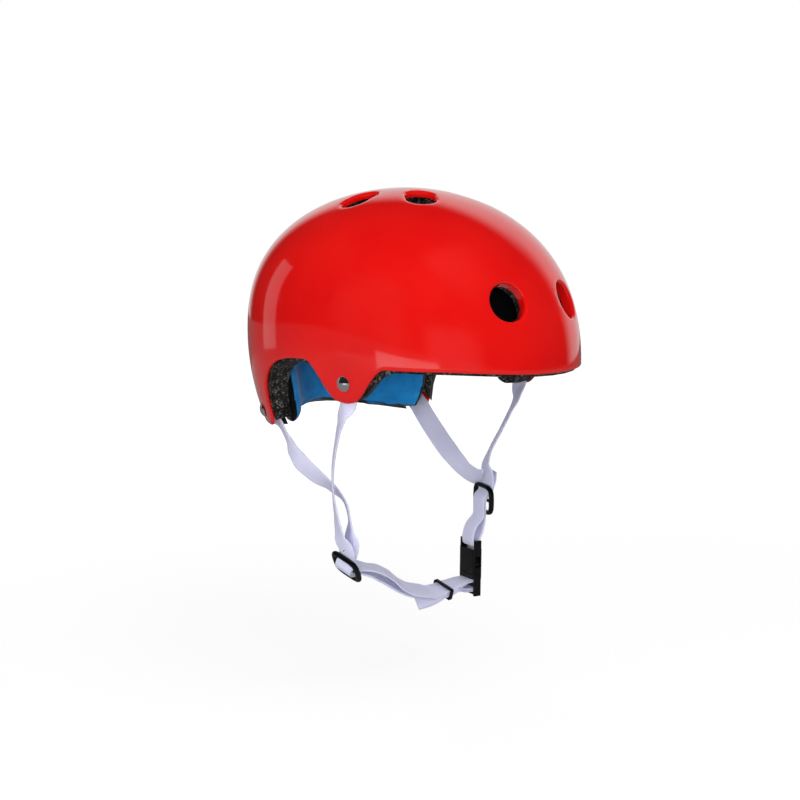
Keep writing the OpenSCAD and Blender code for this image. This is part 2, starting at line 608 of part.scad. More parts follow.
// The right straps meet in the slider, cross under the chin and double back round the plug's bar
RIGHT_FRONT_MID = [[[30.6, -101, -31.5], [0.85, -0.4, -0.35]], [[25.4, -99.6, -43.5], [0.7, -0.59, -0.41]],
    [[19.2, -96.8, -58], [0.66, -0.63, -0.41]], [[12.6, -92.8, -75], [0.68, -0.63, -0.38]],
    [[8, -88, -92.5], [0.73, -0.64, -0.25]], [[7.1, -84, -110], [0.82, -0.57, -0.08]],
    [[8.5, -82.4, -123.4], [0.89, -0.42, 0]], [[10.7, -82.2, -131.8], [0.93, -0.2, -0.1]]];
RIGHT_REAR_MID = [[[-49.6, -82.6, -57.8], [0.57, -0.56, 0.6]], [[-40.2, -85.2, -67.1], [0.72, -0.28, 0.64]],
    [[-31.6, -84.4, -75.6], [0.68, -0.06, 0.73]], [[-21.9, -81.9, -82.9], [0.6, -0.2, 0.77]],
    [[-5.9, -76.6, -92.7], [0.59, -0.53, 0.6]], [[3.9, -71.7, -103.3], [0.73, -0.64, 0.24]],
    [[8.4, -70.9, -116], [0.71, -0.65, 0.26]], [[11.6, -74.3, -128.5], [0.87, -0.4, 0.1]]];
CHIN = [[[15.2, -59, -157.2], [0.92, -0.3, -0.2], 2.8], [[18.2, -48.5, -161.3], [0.87, -0.35, -0.3], 4],
    [[20.3, -38.8, -167.2], [0.85, -0.36, -0.37], 3.7], [[22, -30, -173.5], [0.83, -0.33, -0.45], 2.2],
    [[23.2, -20, -178.6], [0.82, -0.25, -0.51], 1.1], [[23.5, -5.9, -183], [0.82, -0.2, -0.54], 1]];
KEEPER_AT = [21, 25, -187.8];
KEEPER_X = unit([0.95, 0, -0.3]);
KEEPER_Y = unit([0.04, 1, 0.1]);
lock_at = BUCKLE_AT + [0, 0, lock_z];
wrap_r = bar_r + 0.3 + ply;
slot_run = buckle_t / 2 + 2;
keeper_run = 3;
STACK = [[KEEPER_AT + [-0.5, -12, -0.9], [0.88, -0.1, -0.44], 1, -ply],
    [KEEPER_AT - KEEPER_Y * keeper_run, KEEPER_X, 1, -ply],
    [KEEPER_AT + KEEPER_Y * keeper_run, KEEPER_X, 1, -ply],
    [KEEPER_AT + [0.5, 12, 1.2], [0.96, -0.1, -0.15], 1, -ply]];
TAIL = [[[16.4, 13, -193.2], [0.84, -0.22, -0.5], 1], [[10.2, 4.4, -196.2], [0.82, -0.26, -0.51], 1]];
band = stations(concat(thread(OUT_BACK, SLIDER_RIGHT_AT, SLIDER_RIGHT_X, SLIDER_RIGHT_Z), CHIN, STACK,
    [[lock_at - BUCKLE_Y * slot_run + [0, 0, wrap_r], BUCKLE_X, 1]],
    [for (i = [0:8]) [lock_at + wrap_r * (BUCKLE_Y * sin(22.5 * i) + [0, 0, cos(22.5 * i)]), BUCKLE_X, 1]],
    [[lock_at - BUCKLE_Y * slot_run - [0, 0, wrap_r], BUCKLE_X, 1]], [STACK[3], STACK[2], STACK[1]], TAIL));
inner_band = lifted(band, ply / 2);
outer_band = lifted(band, -ply / 2);
module front_strap_right() color(LAVENDER) difference() {
    webbing(concat(lead(concat(strap_end(SIDE_RIVET, -1, SIDE_RUN, side_end, 0), RIGHT_FRONT_MID),
        inner_band), inner_band));
    strap_holes([[-SIDE_RIVET[0], SIDE_RIVET[1]]]);
}
module rear_strap_right() color(LAVENDER) difference() {
    webbing(concat(lead(concat(strap_end(REAR_RIVET, -1, REAR_RUN, rear_end, rear_bend), RIGHT_REAR_MID),
        outer_band), outer_band));
    strap_holes([[-REAR_RIVET[0], REAR_RIVET[1]]]);
}

// Keeper: a loop round the four plies of the chin strap
keeper_l = 3;
keeper_wall = 1.4;
module strap_keeper() color(BLACK) {
    x = square_to(KEEPER_Y, KEEPER_X);
    in_frame(KEEPER_AT, x, KEEPER_Y) translate([0, 0, -keeper_l / 2]) linear_extrude(keeper_l) difference() {
        rounded(web_w + 1.2 + 2 * keeper_wall, 4 * ply + 0.8 + 2 * keeper_wall, 1.6);
        square([web_w + 1.2, 4 * ply + 0.8], center = true);
    }
}

outer_shell();
foam_liner();
front_pad();
rear_pad();
side_pad_left();
side_pad_right();
crown_pad();
hook_patches();
side_rivets();
rear_rivets();
rivet_washers();
left_strap();
front_strap_right();
rear_strap_right();
slider_left();
slider_right();
buckle_socket();
buckle_plug();
prong_front();
prong_rear();
strap_keeper();
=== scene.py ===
"""Looks of a hard-shell sport helmet: moulded shell, foam liner, pads, webbing and buckles."""
import math

import bmesh
import bpy
from mathutils import Matrix, Vector


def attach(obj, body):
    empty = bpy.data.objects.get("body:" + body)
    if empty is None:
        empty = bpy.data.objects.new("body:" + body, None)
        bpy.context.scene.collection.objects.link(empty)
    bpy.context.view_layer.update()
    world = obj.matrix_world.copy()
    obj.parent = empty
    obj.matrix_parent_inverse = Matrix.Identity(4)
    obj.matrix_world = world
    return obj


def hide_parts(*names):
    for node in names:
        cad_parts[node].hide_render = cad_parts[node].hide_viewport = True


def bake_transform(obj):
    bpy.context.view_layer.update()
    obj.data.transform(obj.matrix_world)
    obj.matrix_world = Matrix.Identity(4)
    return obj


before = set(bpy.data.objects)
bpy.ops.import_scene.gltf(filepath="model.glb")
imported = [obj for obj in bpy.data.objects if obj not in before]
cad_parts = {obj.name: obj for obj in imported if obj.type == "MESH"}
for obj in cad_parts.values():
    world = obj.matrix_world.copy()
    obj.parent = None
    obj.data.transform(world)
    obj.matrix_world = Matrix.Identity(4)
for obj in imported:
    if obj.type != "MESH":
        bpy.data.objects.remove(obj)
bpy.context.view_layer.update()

MM = 0.001
WHITE = (1, 1, 1, 1)
scene = bpy.context.scene

# Camera: the photograph's eye point and view, in the frame's metres, its lens for the sensor's width, and the
# nearest and farthest distances it shows

EYE = Vector((0.7017, -0.7674, 0.0952))
VIEW_RIGHT = Vector((0.7344, 0.6786, 0.0098))
VIEW_UP = Vector((-0.0896, 0.0826, 0.9925))
SENSOR_MM, LENS_MM = 36, 59.1
NEAREST, FARTHEST = 0.05, 60


def make_camera():
    data = bpy.data.cameras.new("camera")
    data.sensor_width, data.lens = SENSOR_MM, LENS_MM
    data.clip_start, data.clip_end = NEAREST, FARTHEST
    camera = bpy.data.objects.new("camera", data)
    back = VIEW_RIGHT.cross(VIEW_UP).normalized()
    up = back.cross(VIEW_RIGHT).normalized()
    camera.matrix_world = Matrix((VIEW_RIGHT.normalized(), up, back)).transposed().to_4x4()
    camera.location = EYE
    scene.collection.objects.link(camera)
    scene.camera = camera


make_camera()

# Materials

# A full turn of a wave, and how fast the webbing's herringbone turns across the band, per metre
TURN, SLANT = 6.283, 3142.0
# Spacing of the webbing's cords, twice the real one so that they show
CORD_MM = 1.5


def linear(code):
    """sRGB hex to linear RGBA."""
    values = [int(code[i:i + 2], 16) / 255 for i in (1, 3, 5)]
    return tuple(v / 12.92 if v <= 0.04045 else ((v + 0.055) / 1.055) ** 2.4 for v in values) + (1.0,)


class Tree:
    """The nodes of a new material or world."""

    def __init__(self, name, kind=bpy.data.materials):
        self.owner = kind.new(name)
        self.owner.use_nodes = True
        self.nodes, self.links = self.owner.node_tree.nodes, self.owner.node_tree.links
        self.nodes.clear()

    def add(self, kind, inputs=None, **settings):
        """Adds a node. Inputs gives its sockets, by name or number, a value or another socket to link to."""
        node = self.nodes.new(kind)
        for key, value in settings.items():
            setattr(node, key, value)
        for key, value in (inputs or {}).items():
            if isinstance(value, bpy.types.NodeSocket):
                self.links.new(value, node.inputs[key])
            else:
                node.inputs[key].default_value = value
        return node

    def place(self, size_mm):
        """Object coordinates in units of size_mm."""
        where = self.add("ShaderNodeTexCoord").outputs["Object"]
        return self.add("ShaderNodeMapping", {"Scale": (1 / (size_mm * MM),) * 3,
                                              "Vector": where}).outputs["Vector"]

    def noise(self, size_mm, detail, roughness=0.5):
        return self.add("ShaderNodeTexNoise", {"Scale": 1.0, "Detail": detail, "Roughness": roughness,
                                               "Vector": self.place(size_mm)}).outputs["Fac"]

    def cells(self, size_mm, randomness, feature="F1"):
        return self.add("ShaderNodeTexVoronoi", {"Scale": 1.0, "Randomness": randomness,
                                                 "Vector": self.place(size_mm)}, feature=feature).outputs

    def ramp(self, source, stops):
        node = self.add("ShaderNodeValToRGB", {"Fac": source})
        ramp = node.color_ramp
        while len(ramp.elements) < len(stops):
            ramp.elements.new(0.5)
        for element, (at, colour) in zip(ramp.elements, stops):
            element.position = at
            element.color = linear(colour) if isinstance(colour, str) else (colour, colour, colour, 1)
        return node.outputs["Color"]

    def math(self, operation, a, b=0.0):
        return self.add("ShaderNodeMath", {0: a, 1: b}, operation=operation).outputs[0]

    def mix(self, share, a, b, blend_type="MIX"):
        """Mixes colours a and b, whose sockets on the node are 6 and 7; the mixed colour is output 2."""
        return self.add("ShaderNodeMix", {0: share, 6: a, 7: b}, data_type="RGBA",
                        blend_type=blend_type).outputs[2]

    def smooth(self, value, start, end, low, high):
        """Rises smoothly from low to high as value goes from start to end."""
        inputs = {"Value": value, "From Min": start, "From Max": end, "To Min": low, "To Max": high}
        return self.add("ShaderNodeMapRange", inputs, interpolation_type="SMOOTHSTEP").outputs["Result"]

    def bump(self, height, depth_mm, strength):
        return self.add("ShaderNodeBump", {"Strength": strength, "Distance": depth_mm * MM,
                                           "Height": height}).outputs["Normal"]

    def finish(self, inputs):
        shader = self.add("ShaderNodeBsdfPrincipled", inputs).outputs["BSDF"]
        self.add("ShaderNodeOutputMaterial", {"Surface": shader})
        return self.owner


def glossy_abs():
    """Glossy ABS, injection moulded: a deep clear red with a trace of ripple in its reflections."""
    t = Tree("glossy_moulded_abs_red")
    colour = t.ramp(t.noise(60, 2.0), [(0.3, "#d40c0c"), (0.7, "#dd130f")])
    rough = t.ramp(t.noise(25, 3.0), [(0.35, 0.07), (0.75, 0.13)])
    return t.finish({"IOR": 1.53, "Coat Weight": 0.4, "Coat Roughness": 0.03, "Base Color": colour,
                     "Roughness": rough, "Normal": t.bump(t.noise(9, 1.0), 0.05, 0.35)})


def bead_foam():
    """Expanded polystyrene, steam moulded: fused beads 1.3 mm across, charcoal with pale and brown flecks."""
    t = Tree("moulded_eps_bead_foam")
    beads = t.cells(1.3, 0.9)["Color"]
    seams = t.cells(1.3, 0.9, "DISTANCE_TO_EDGE")["Distance"]
    tint = t.ramp(t.add("ShaderNodeSeparateColor", {"Color": beads}).outputs["Red"],
                  [(0.0, "#0d0d0e"), (0.55, "#1e1e1f"), (0.8, "#45423c"), (0.97, "#7d786f")])
    colour = t.mix(1.0, tint, t.ramp(seams, [(0.0, 0.25), (0.12, 1.0)]), "MULTIPLY")
    dome = t.ramp(seams, [(0.0, 0.0), (0.35, 1.0)])
    return t.finish({"Roughness": 0.62, "IOR": 1.45, "Base Color": colour, "Normal": t.bump(dome, 0.5, 0.7)})


def knit(name, light, dark, gauge_mm, sheen):
    """Warp-knit polyester over soft foam: fine ribs of loops, soft sheen, a little wear, and a black edge
    where the piece's own cover attribute rises."""
    t = Tree(name)
    ribs, rows = (t.add("ShaderNodeTexWave", {"Scale": 1.0, "Distortion": 1.5, "Detail": 1.0,
                                              "Detail Scale": 2.0, "Vector": t.place(gauge_mm * TURN)},
                        wave_type="BANDS", bands_direction=way).outputs["Fac"] for way in ("Z", "DIAGONAL"))
    loops = t.math("MULTIPLY", ribs, rows)
    worn = t.math("ADD", t.math("MULTIPLY", loops, 0.08), t.math("MULTIPLY", t.noise(14, 6.0, 0.6), 0.92))
    cover = t.ramp(t.add("ShaderNodeAttribute", attribute_name="cover").outputs["Fac"],
                   [(0.45, 0.0), (0.55, 1.0)])
    colour = t.mix(cover, t.ramp(worn, [(0.25, dark), (0.75, light)]), linear("#0b0b0c"))
    return t.finish({"Roughness": 0.88, "Sheen Weight": sheen, "Sheen Roughness": 0.4,
                     "Specular IOR Level": 0.25, "Base Color": colour, "Normal": t.bump(loops, 0.2, 0.3)})


def moulded_black():
    """Black acetal, injection moulded from a lightly sparked tool: satin, greyer where it is handled."""
    t = Tree("moulded_black_acetal")
    worn = t.noise(7, 2.0)
    return t.finish({"IOR": 1.48, "Specular IOR Level": 0.35,
                     "Base Color": t.ramp(worn, [(0.35, "#050506"), (0.75, "#0d0d0f")]),
                     "Roughness": t.ramp(worn, [(0.3, 0.24), (0.8, 0.4)]),
                     "Normal": t.bump(t.noise(0.5, 3.0), 0.05, 0.4)})


def plated_steel():
    """Nickel-plated steel, pressed and tumbled: bright, with fine tumbling marks."""
    t = Tree("nickel_plated_steel")
    marks = t.noise(1.2, 4.0)
    return t.finish({"Metallic": 1.0, "Base Color": t.ramp(marks, [(0.2, "#cfd0d3"), (0.8, "#ececee")]),
                     "Roughness": t.ramp(marks, [(0.3, 0.06), (0.8, 0.16)]),
                     "Normal": t.bump(marks, 0.03, 0.3)})


def hook_tape():
    """Nylon hook tape, woven: matt black with a fine stubble of hooks."""
    t = Tree("woven_nylon_hook_tape")
    stubble = t.cells(1.1, 0.35)["Distance"]
    height = t.ramp(stubble, [(0.0, 1.0), (0.6, 0.0)])
    return t.finish({"Roughness": 0.8, "Base Color": t.ramp(stubble, [(0.0, "#232326"), (0.6, "#0a0a0b")]),
                     "Normal": t.bump(height, 0.4, 0.8)})


def woven_webbing():
    """Polyester webbing, woven: flat pale lavender cords with a herringbone that only just shows, and a soft
    sheen. The pattern follows the piece's own UV map, in metres across and along."""
    t = Tree("woven_polyester_webbing")
    weave = t.add("ShaderNodeUVMap", uv_map="weave").outputs["UV"]
    cords = t.add("ShaderNodeSeparateXYZ", {"Vector": weave}).outputs
    across, lengthwise = (t.math("MULTIPLY", cords[way], TURN / (CORD_MM * MM)) for way in "XY")
    slant = t.math("ADD", lengthwise, t.math("MULTIPLY", t.math("ABSOLUTE", cords["X"]), SLANT))
    ribs, picks = (t.math("MULTIPLY", t.math("SINE", turn), 0.25) for turn in (across, slant))
    height = t.math("ADD", t.math("ADD", ribs, picks), 0.5)
    shade = t.math("ADD", t.math("MULTIPLY", height, 0.4), t.math("MULTIPLY", t.noise(18, 3.0), 0.6))
    colour = t.ramp(shade, [(0.2, "#d2d2ef"), (0.8, "#dfdff7")])
    return t.finish({"Roughness": 0.6, "Sheen Weight": 0.2, "Sheen Roughness": 0.4, "Base Color": colour,
                     "Specular IOR Level": 0.35, "Normal": t.bump(height, 0.12, 0.6)})


RED = glossy_abs()
WEBBING = woven_webbing()
EPS = bead_foam()
BLUE = knit("warp_knit_polyester_blue", "#2a9fe8", "#1a74bc", 1.1, 0.25)
# Black cloth for the side and crown pads: the pads' own black, and painted shade for the inside of the helmet
# that shows dark through the vents
BLACK_CLOTH_AND_SHADE = knit("brushed_nylon_black_and_painted_shade", "#17171a", "#08080a", 1.4, 0.1)
BLACK = moulded_black()
STEEL = plated_steel()
HOOK = hook_tape()

# Helmet surface, in millimetres, with the part's own sizes

UP = Vector((0, 0, 1))
SHELL_L, SHELL_W, SHELL_H, FRONT_L, SHELL_T = 281, 223, 135.5, 146.5, 2.6
BRIM_MID, BRIM_RISE, BRIM_QUICK, FLAP_DROP, FLAP_ROUND = 1.3, 2.7, 1.4, 22, 0.8
ARCH_RISE, ARCH_POWER, NAPE_DROP, NAPE_MID, NAPE_R = 8, 2.6, 49, 40, 6
BRIM_A, FLAP_FRONT, FLAP_REAR, ARCH_FRONT, ARCH_A, NAPE_A = 54.8, 67.3, 73, 90.3, 92, 121
REAR_L, HALF_W, PLAN_POWER = SHELL_L - FRONT_L, SHELL_W / 2, 2.15
# Where each side leaves the upright, how fast it rounds over, and its taper over TAPER_RUN below that
FRONT_TURN, SIDE_TURN, REAR_TURN = (-6, 2.2, 0.02), (26, 2.5, 0.04), (21, 2.3, 0.07)
TAPER_RUN = 50
# A radius that counts as none
NO_RADIUS = 0.001
# Step for slopes, in degrees and millimetres; how often a search halves its range, and how far it looks
NUDGE, DROP_STEPS, REACH = 0.5, 30, 25.0


def lerp(a, b, t):
    return a + (b - a) * t


def ease(t):
    return t * t * (3 - 2 * t)


def dome(z, top, turn):
    """Share of the full radius that is left at height z."""
    if z > turn[0]:
        return math.sqrt(max(0, 1 - min(1, (z - turn[0]) / (top - turn[0])) ** turn[1]))
    return 1 - turn[2] * ((turn[0] - z) / TAPER_RUN) ** 2


def skin_r(a, z, inset=0.0):
    """Radius of the shell's surface, or of one that lies inset below it, at angle a and height z."""
    c, s = math.cos(math.radians(a)), math.sin(math.radians(a))
    top = SHELL_H - inset
    length, turn = (FRONT_L, FRONT_TURN) if c >= 0 else (REAR_L, REAR_TURN)
    ends = (length - inset) * dome(z, top, turn)
    sides = (HALF_W - inset) * dome(z, top, SIDE_TURN)
    if min(ends, sides) < NO_RADIUS:
        return 0.0
    return ((abs(c) / ends) ** PLAN_POWER + (abs(s) / sides) ** PLAN_POWER) ** (-1 / PLAN_POWER)


def skin(a, z, inset=0.0):
    r = skin_r(a, z, inset)
    return Vector((r * math.cos(math.radians(a)), r * math.sin(math.radians(a)), z))


def skin_out(a, z):
    """The surface's outward direction."""
    round_it, up_it = skin(a + NUDGE, z) - skin(a - NUDGE, z), skin(a, z + NUDGE) - skin(a, z - NUDGE)
    return round_it.cross(up_it).normalized()


def angle_of(p):
    return math.degrees(math.atan2(p.y, p.x))


def inside(p, inset):
    """How far inside the surface a point lies, along its radius."""
    return skin_r(angle_of(p), p.z, inset) - math.hypot(p.x, p.y)


def drop_to_skin(p, out, inset):
    """Moves a point along out until it lies on the surface."""
    low, high = -REACH, REACH
    for _ in range(DROP_STEPS):
        mid = (low + high) / 2
        if p.z + out.z * mid < SHELL_H - inset and inside(p + out * mid, inset) > 0:
            low = mid
        else:
            high = mid
    return p + out * low


# The rim's stretches from the front centre to the rear centre: brim, flap's front slope, its lower edge,
# its rear slope, arch and nape edge, corner, rear
STRETCHES = (8, 6, 4, 7, 8, 3, 8)


def rim_at(s):
    """(angle, height) of the rim at share s of the way round."""
    total = sum(STRETCHES)
    steps = s * 2 * total
    if steps > total:
        a, z = rim_at(1 - s)
        return 360 - a, z
    k = 0
    while k < len(STRETCHES) - 1 and steps > STRETCHES[k]:
        steps -= STRETCHES[k]
        k += 1
    t = min(1, steps / STRETCHES[k])
    quarter = math.radians(90 * t)
    flap_end = FLAP_ROUND - FLAP_DROP
    corner_a = math.degrees(NAPE_R / HALF_W)
    if k == 0:
        return BRIM_A * t, BRIM_MID + BRIM_RISE * ease(min(1, BRIM_QUICK * t))
    if k == 1:
        return lerp(BRIM_A, FLAP_FRONT, t), lerp(BRIM_MID + BRIM_RISE, flap_end, ease(t))
    if k == 2:
        return lerp(FLAP_FRONT, FLAP_REAR, t), flap_end - FLAP_ROUND * math.sin(2 * quarter)
    if k == 3:
        return lerp(FLAP_REAR, ARCH_FRONT, t), lerp(flap_end, ARCH_RISE, ease(t))
    if k == 4:
        deep = ARCH_RISE + NAPE_DROP - NAPE_R
        return (lerp(ARCH_A, NAPE_A, math.sin(quarter) ** (2 / ARCH_POWER)),
                ARCH_RISE - deep * (1 - max(0, math.cos(quarter)) ** (2 / ARCH_POWER)))
    if k == 5:
        return NAPE_A + corner_a * (1 - math.cos(quarter)), NAPE_R - NAPE_DROP - NAPE_R * math.sin(quarter)
    return lerp(NAPE_A + corner_a, 180, t), -lerp(NAPE_DROP, NAPE_MID, ease(t))


# Mesh helpers

# Points closer than this are one: in a CAD node, in metres, and in a grid or a spun piece, in millimetres
NODE_MERGE, GRID_MERGE, SPIN_MERGE = 1e-5, 1e-4, 1e-3
# Faces within FLAT degrees of each other are joined; edges from BEVEL_FROM degrees are rounded in BEVEL_STEPS
FLAT, BEVEL_FROM, BEVEL_STEPS = 1, 35, 3
# How far the edges of a moulded part are rounded, and where it is more
ROUNDING, ROUNDED = 0.5, {"buckle_socket": 1.2, "buckle_plug": 1.2}


def piece(name, bm, material, sharp=None):
    """Turns a bmesh in millimetres into an object in metres; edges from sharp degrees stay sharp."""
    bmesh.ops.scale(bm, vec=(MM, MM, MM), verts=bm.verts)
    mesh = bpy.data.meshes.new(name)
    bm.to_mesh(mesh)
    bm.free()
    mesh.materials.append(material)
    for face in mesh.polygons:
        face.use_smooth = True
    if sharp is not None:
        mesh.set_sharp_from_angle(angle=math.radians(sharp))
    obj = bpy.data.objects.new(name, mesh)
    scene.collection.objects.link(obj)
    return obj


def on_body(obj, body, node):
    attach(obj, body)
    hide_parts(node)


def from_node(node):
    """A merged copy of a CAD node as a bmesh in millimetres."""
    bm = bmesh.new()
    bm.from_mesh(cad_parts[node].data)
    bmesh.ops.remove_doubles(bm, verts=bm.verts, dist=NODE_MERGE)
    bmesh.ops.scale(bm, vec=(1 / MM,) * 3, verts=bm.verts)
    return bm


def softened(node, name, body):
    """A moulded CAD node with its flat faces joined and its edges rounded."""
    bm = from_node(node)
    bmesh.ops.dissolve_limit(bm, angle_limit=math.radians(FLAT), verts=bm.verts, edges=bm.edges)
    edges = [e for e in bm.edges
             if len(e.link_faces) == 2 and e.calc_face_angle(0) > math.radians(BEVEL_FROM)]
    bmesh.ops.bevel(bm, geom=edges, offset=ROUNDED.get(node, ROUNDING), offset_type="OFFSET", affect="EDGES",
                    segments=BEVEL_STEPS, profile=0.5, material=-1, clamp_overlap=True)
    bmesh.ops.recalc_face_normals(bm, faces=bm.faces)
    on_body(piece(name, bm, BLACK, sharp=40), body, node)


def ring_edges(bm, verts):
    """The edges round a ring of vertices, with any that are missing added."""
    edges = []
    for a, b in zip(verts, verts[1:] + verts[:1]):
        e = bm.edges.get((a, b))
        edges.append(e if e else bm.edges.new((a, b)))
    return edges


def next_ring(bm, ring):
    """Extrudes a ring, and returns the new vertices in the same order."""
    made = bmesh.ops.extrude_edge_only(bm, edges=ring_edges(bm, ring))["geom"]
    fresh = {g for g in made if isinstance(g, bmesh.types.BMVert)}
    return [next(e.other_vert(v) for e in v.link_edges if e.other_vert(v) in fresh) for v in ring]


def swept(bm, outlines, closed):
    """Sweeps a ring through lists of points, capped at its ends or joined round; returns all its rings."""
    rings = []
    for points in outlines:
        if rings:
            rings.append(next_ring(bm, rings[-1]))
        else:
            rings.append(list(bmesh.ops.create_circle(bm, segments=len(points), radius=1)["verts"]))
        for v, p in zip(rings[-1], points):
            v.co = p
    first, last = ring_edges(bm, rings[0]), ring_edges(bm, rings[-1])
    if closed:
        bmesh.ops.bridge_loops(bm, edges=first + last)
    else:
        for edges in (first, last):
            bmesh.ops.contextual_create(bm, geom=edges)
    return rings


def finish_node(node, material):
    """A CAD node that keeps its own mesh, with a material on it."""
    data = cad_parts[node].data
    data.materials.clear()
    data.materials.append(material)


# Shell

# The wall's grid; the round vents' angles and heights; the oval vents' angles, how far they lie from the
# axis, and how low and how finely their height is looked for
COLUMNS, ROWS = 440, 80
ROUND_VENTS = ((15, 52.5), (-15, 52.5), (164, 50), (-164, 50))
OVAL_ANGLES = (-152, -94, -36, 36, 94, 152)
OVAL_RING, OVAL_LOWEST, OVAL_STEPS = 50, 60, 24
# A vent's lip: how far its rim rolls over, in how many steps, its thickness and depth
VENT_LIP, LIP_STEPS, LIP_T, LIP_DEEP, OVAL_LIP_DEEP = 2.6, 7, 2.0, 8.0, 4.5
VENT_R, OVAL_R, OVAL_RUN = 14.2, 11.0, 9.0
# Points round a vent, the room cleared in the grid round it, and how deep the clearing reaches
LOOP, VENT_ROOM, VENT_REACH = 72, 3.2, 14
# The shell's edge: (depth, distance up the wall) of each step as it rolls under; the last runs up inside
EDGE_UP = 6.0
EDGE_ROLL = ((0.25, -0.55), (0.55, -0.25), (1.0, 0.0), (0.55, 0.25), (0.25, 0.55), (0, EDGE_UP))


def vents():
    """(centre, side, up, out, radius, run) of each vent, on the outer surface."""
    found = [(a, z, VENT_R, 0.0) for a, z in ROUND_VENTS]
    for a in OVAL_ANGLES:
        low, high = OVAL_LOWEST, SHELL_H
        for _ in range(OVAL_STEPS):
            mid = (low + high) / 2
            low, high = (mid, high) if skin_r(a, mid) > OVAL_RING else (low, mid)
        found.append((a, mid, OVAL_R, OVAL_RUN))
    places = []
    for a, z, r, run in found:
        out = skin_out(a, z)
        side = UP.cross(out).normalized()
        places.append((skin(a, z), side, out.cross(side), out, r, run))
    return places


def outline(k, r, run):
    """Point and outward direction at step k of LOOP round a vent: a circle, or two joined by straights."""
    length = 2 * math.pi * r + 2 * run
    s = (k / LOOP * length + math.pi * r / 2) % length
    for centre, turn in ((-run / 2, math.pi), (run / 2, 0.0)):
        if s < math.pi * r:
            a = s / r + turn
            way = Vector((math.cos(a), math.sin(a)))
            return way * r + Vector((0, centre)), way
        s -= math.pi * r
        if s < run:
            right = 1 if turn else -1
            return Vector((right * r, -right * (run / 2 - s))), Vector((right, 0))
        s -= run
    return Vector((0, -r)), Vector((0, -1))


def sheet(bm, inset, above):
    """Adds one surface from a line above the rim to a closed top."""
    made = bmesh.ops.create_grid(bm, x_segments=COLUMNS, y_segments=ROWS, size=1)["verts"]
    top = SHELL_H - inset
    for v in made:
        u, t = (v.co.x + 1) / 2, (v.co.y + 1) / 2
        edge_a, edge_z = rim_at(min(1, max(0, u)))
        z = lerp(edge_z + above, top, math.cos(math.pi / 2 * t))
        v.co = skin(lerp(360 * u, edge_a, ease(t)), z, inset) if t > 1e-6 else Vector((0, 0, top))
    bmesh.ops.remove_doubles(bm, verts=made, dist=GRID_MERGE)


def cut_vent(bm, place, grow, inset):
    """Opens a vent in the sheet that lies inset deep, and returns the hole's ring of vertices."""
    centre, side, up, out, r, run = place
    doomed = []
    for face in bm.faces:
        d = face.calc_center_median() - centre
        if abs(d.dot(out) + inset) > VENT_REACH:
            continue
        x, y = d.dot(side), d.dot(up)
        y = max(0, abs(y) - run / 2)
        if math.hypot(x, y) < r + grow + VENT_ROOM:
            doomed.append(face)
    bmesh.ops.delete(bm, geom=doomed, context="FACES")
    border = [e for e in bm.edges if len(e.link_faces) == 1
              and (e.verts[0].co - centre).length < r + run / 2 + grow + 4 * VENT_ROOM]
    ring = list(bmesh.ops.create_circle(bm, segments=LOOP, radius=r)["verts"])
    for k, v in enumerate(ring):
        p, way = outline(k, r, run)
        p = p + way * grow
        v.co = drop_to_skin(centre + side * p.x + up * p.y, out, inset)
    bmesh.ops.triangle_fill(bm, edges=border + ring_edges(bm, ring), use_beauty=True, normal=out)
    return ring


def step_ring(bm, ring, place, move):
    """Extrudes a ring; move is (outwards across the hole, outwards along its axis)."""
    _, side, up, out, r, run = place
    after = next_ring(bm, ring)
    for k, (v, twin) in enumerate(zip(ring, after)):
        way = outline(k, r, run)[1]
        twin.co = v.co + (side * way.x + up * way.y) * move[0] + out * move[1]
    return after


def facing_out(bm):
    """Turns every face away from the inside of the wall."""
    bmesh.ops.recalc_face_normals(bm, faces=bm.faces)
    if sum(f.normal.dot(f.calc_center_median()) * f.calc_area() for f in bm.faces) < 0:
        bmesh.ops.reverse_faces(bm, faces=bm.faces)


def rim_edges(bm, rings):
    """The sheet's open edges that belong to none of these rings."""
    held = {v for ring in rings for v in ring}
    return [e for e in bm.edges if e.is_boundary and not held.intersection(e.verts)]


def vent_lips(bm):
    """Opens each vent, rolls its rim in and runs a lip down and back up to the wall; returns the lip ends."""
    rings = []
    for place in vents():
        ring = cut_vent(bm, place, VENT_LIP, 0)
        for k in range(LIP_STEPS):
            a, b = math.pi / 2 * k / LIP_STEPS, math.pi / 2 * (k + 1) / LIP_STEPS
            ring = step_ring(bm, ring, place, (-VENT_LIP * (math.sin(b) - math.sin(a)),
                                               VENT_LIP * (math.cos(b) - math.cos(a))))
        deep = OVAL_LIP_DEEP if place[-1] else LIP_DEEP
        for move in ((0, VENT_LIP - deep), (LIP_T, 0), (0, deep - SHELL_T - VENT_LIP)):
            ring = step_ring(bm, ring, place, move)
        rings.append(ring)
    return rings


def rolled_rim(bm, edges):
    """Rolls the wall's edge under and runs it up inside; returns the edges where it ends."""
    into = {v: (next(e.other_vert(v) for e in v.link_edges if not e.is_boundary).co - v.co).normalized()
            for e in edges for v in e.verts}
    for sunk, along_wall in EDGE_ROLL:
        grown = bmesh.ops.extrude_edge_only(bm, edges=edges)["geom"]
        edges = [g for g in grown if isinstance(g, bmesh.types.BMEdge) and g.is_boundary]
        fresh = {}
        for v in {v for e in edges for v in e.verts}:
            way = next(into[e.other_vert(v)] for e in v.link_edges if e.other_vert(v) in into)
            v.co += way * along_wall - skin_out(angle_of(v.co), v.co.z) * sunk
            fresh[v] = way
        into = fresh
    return edges


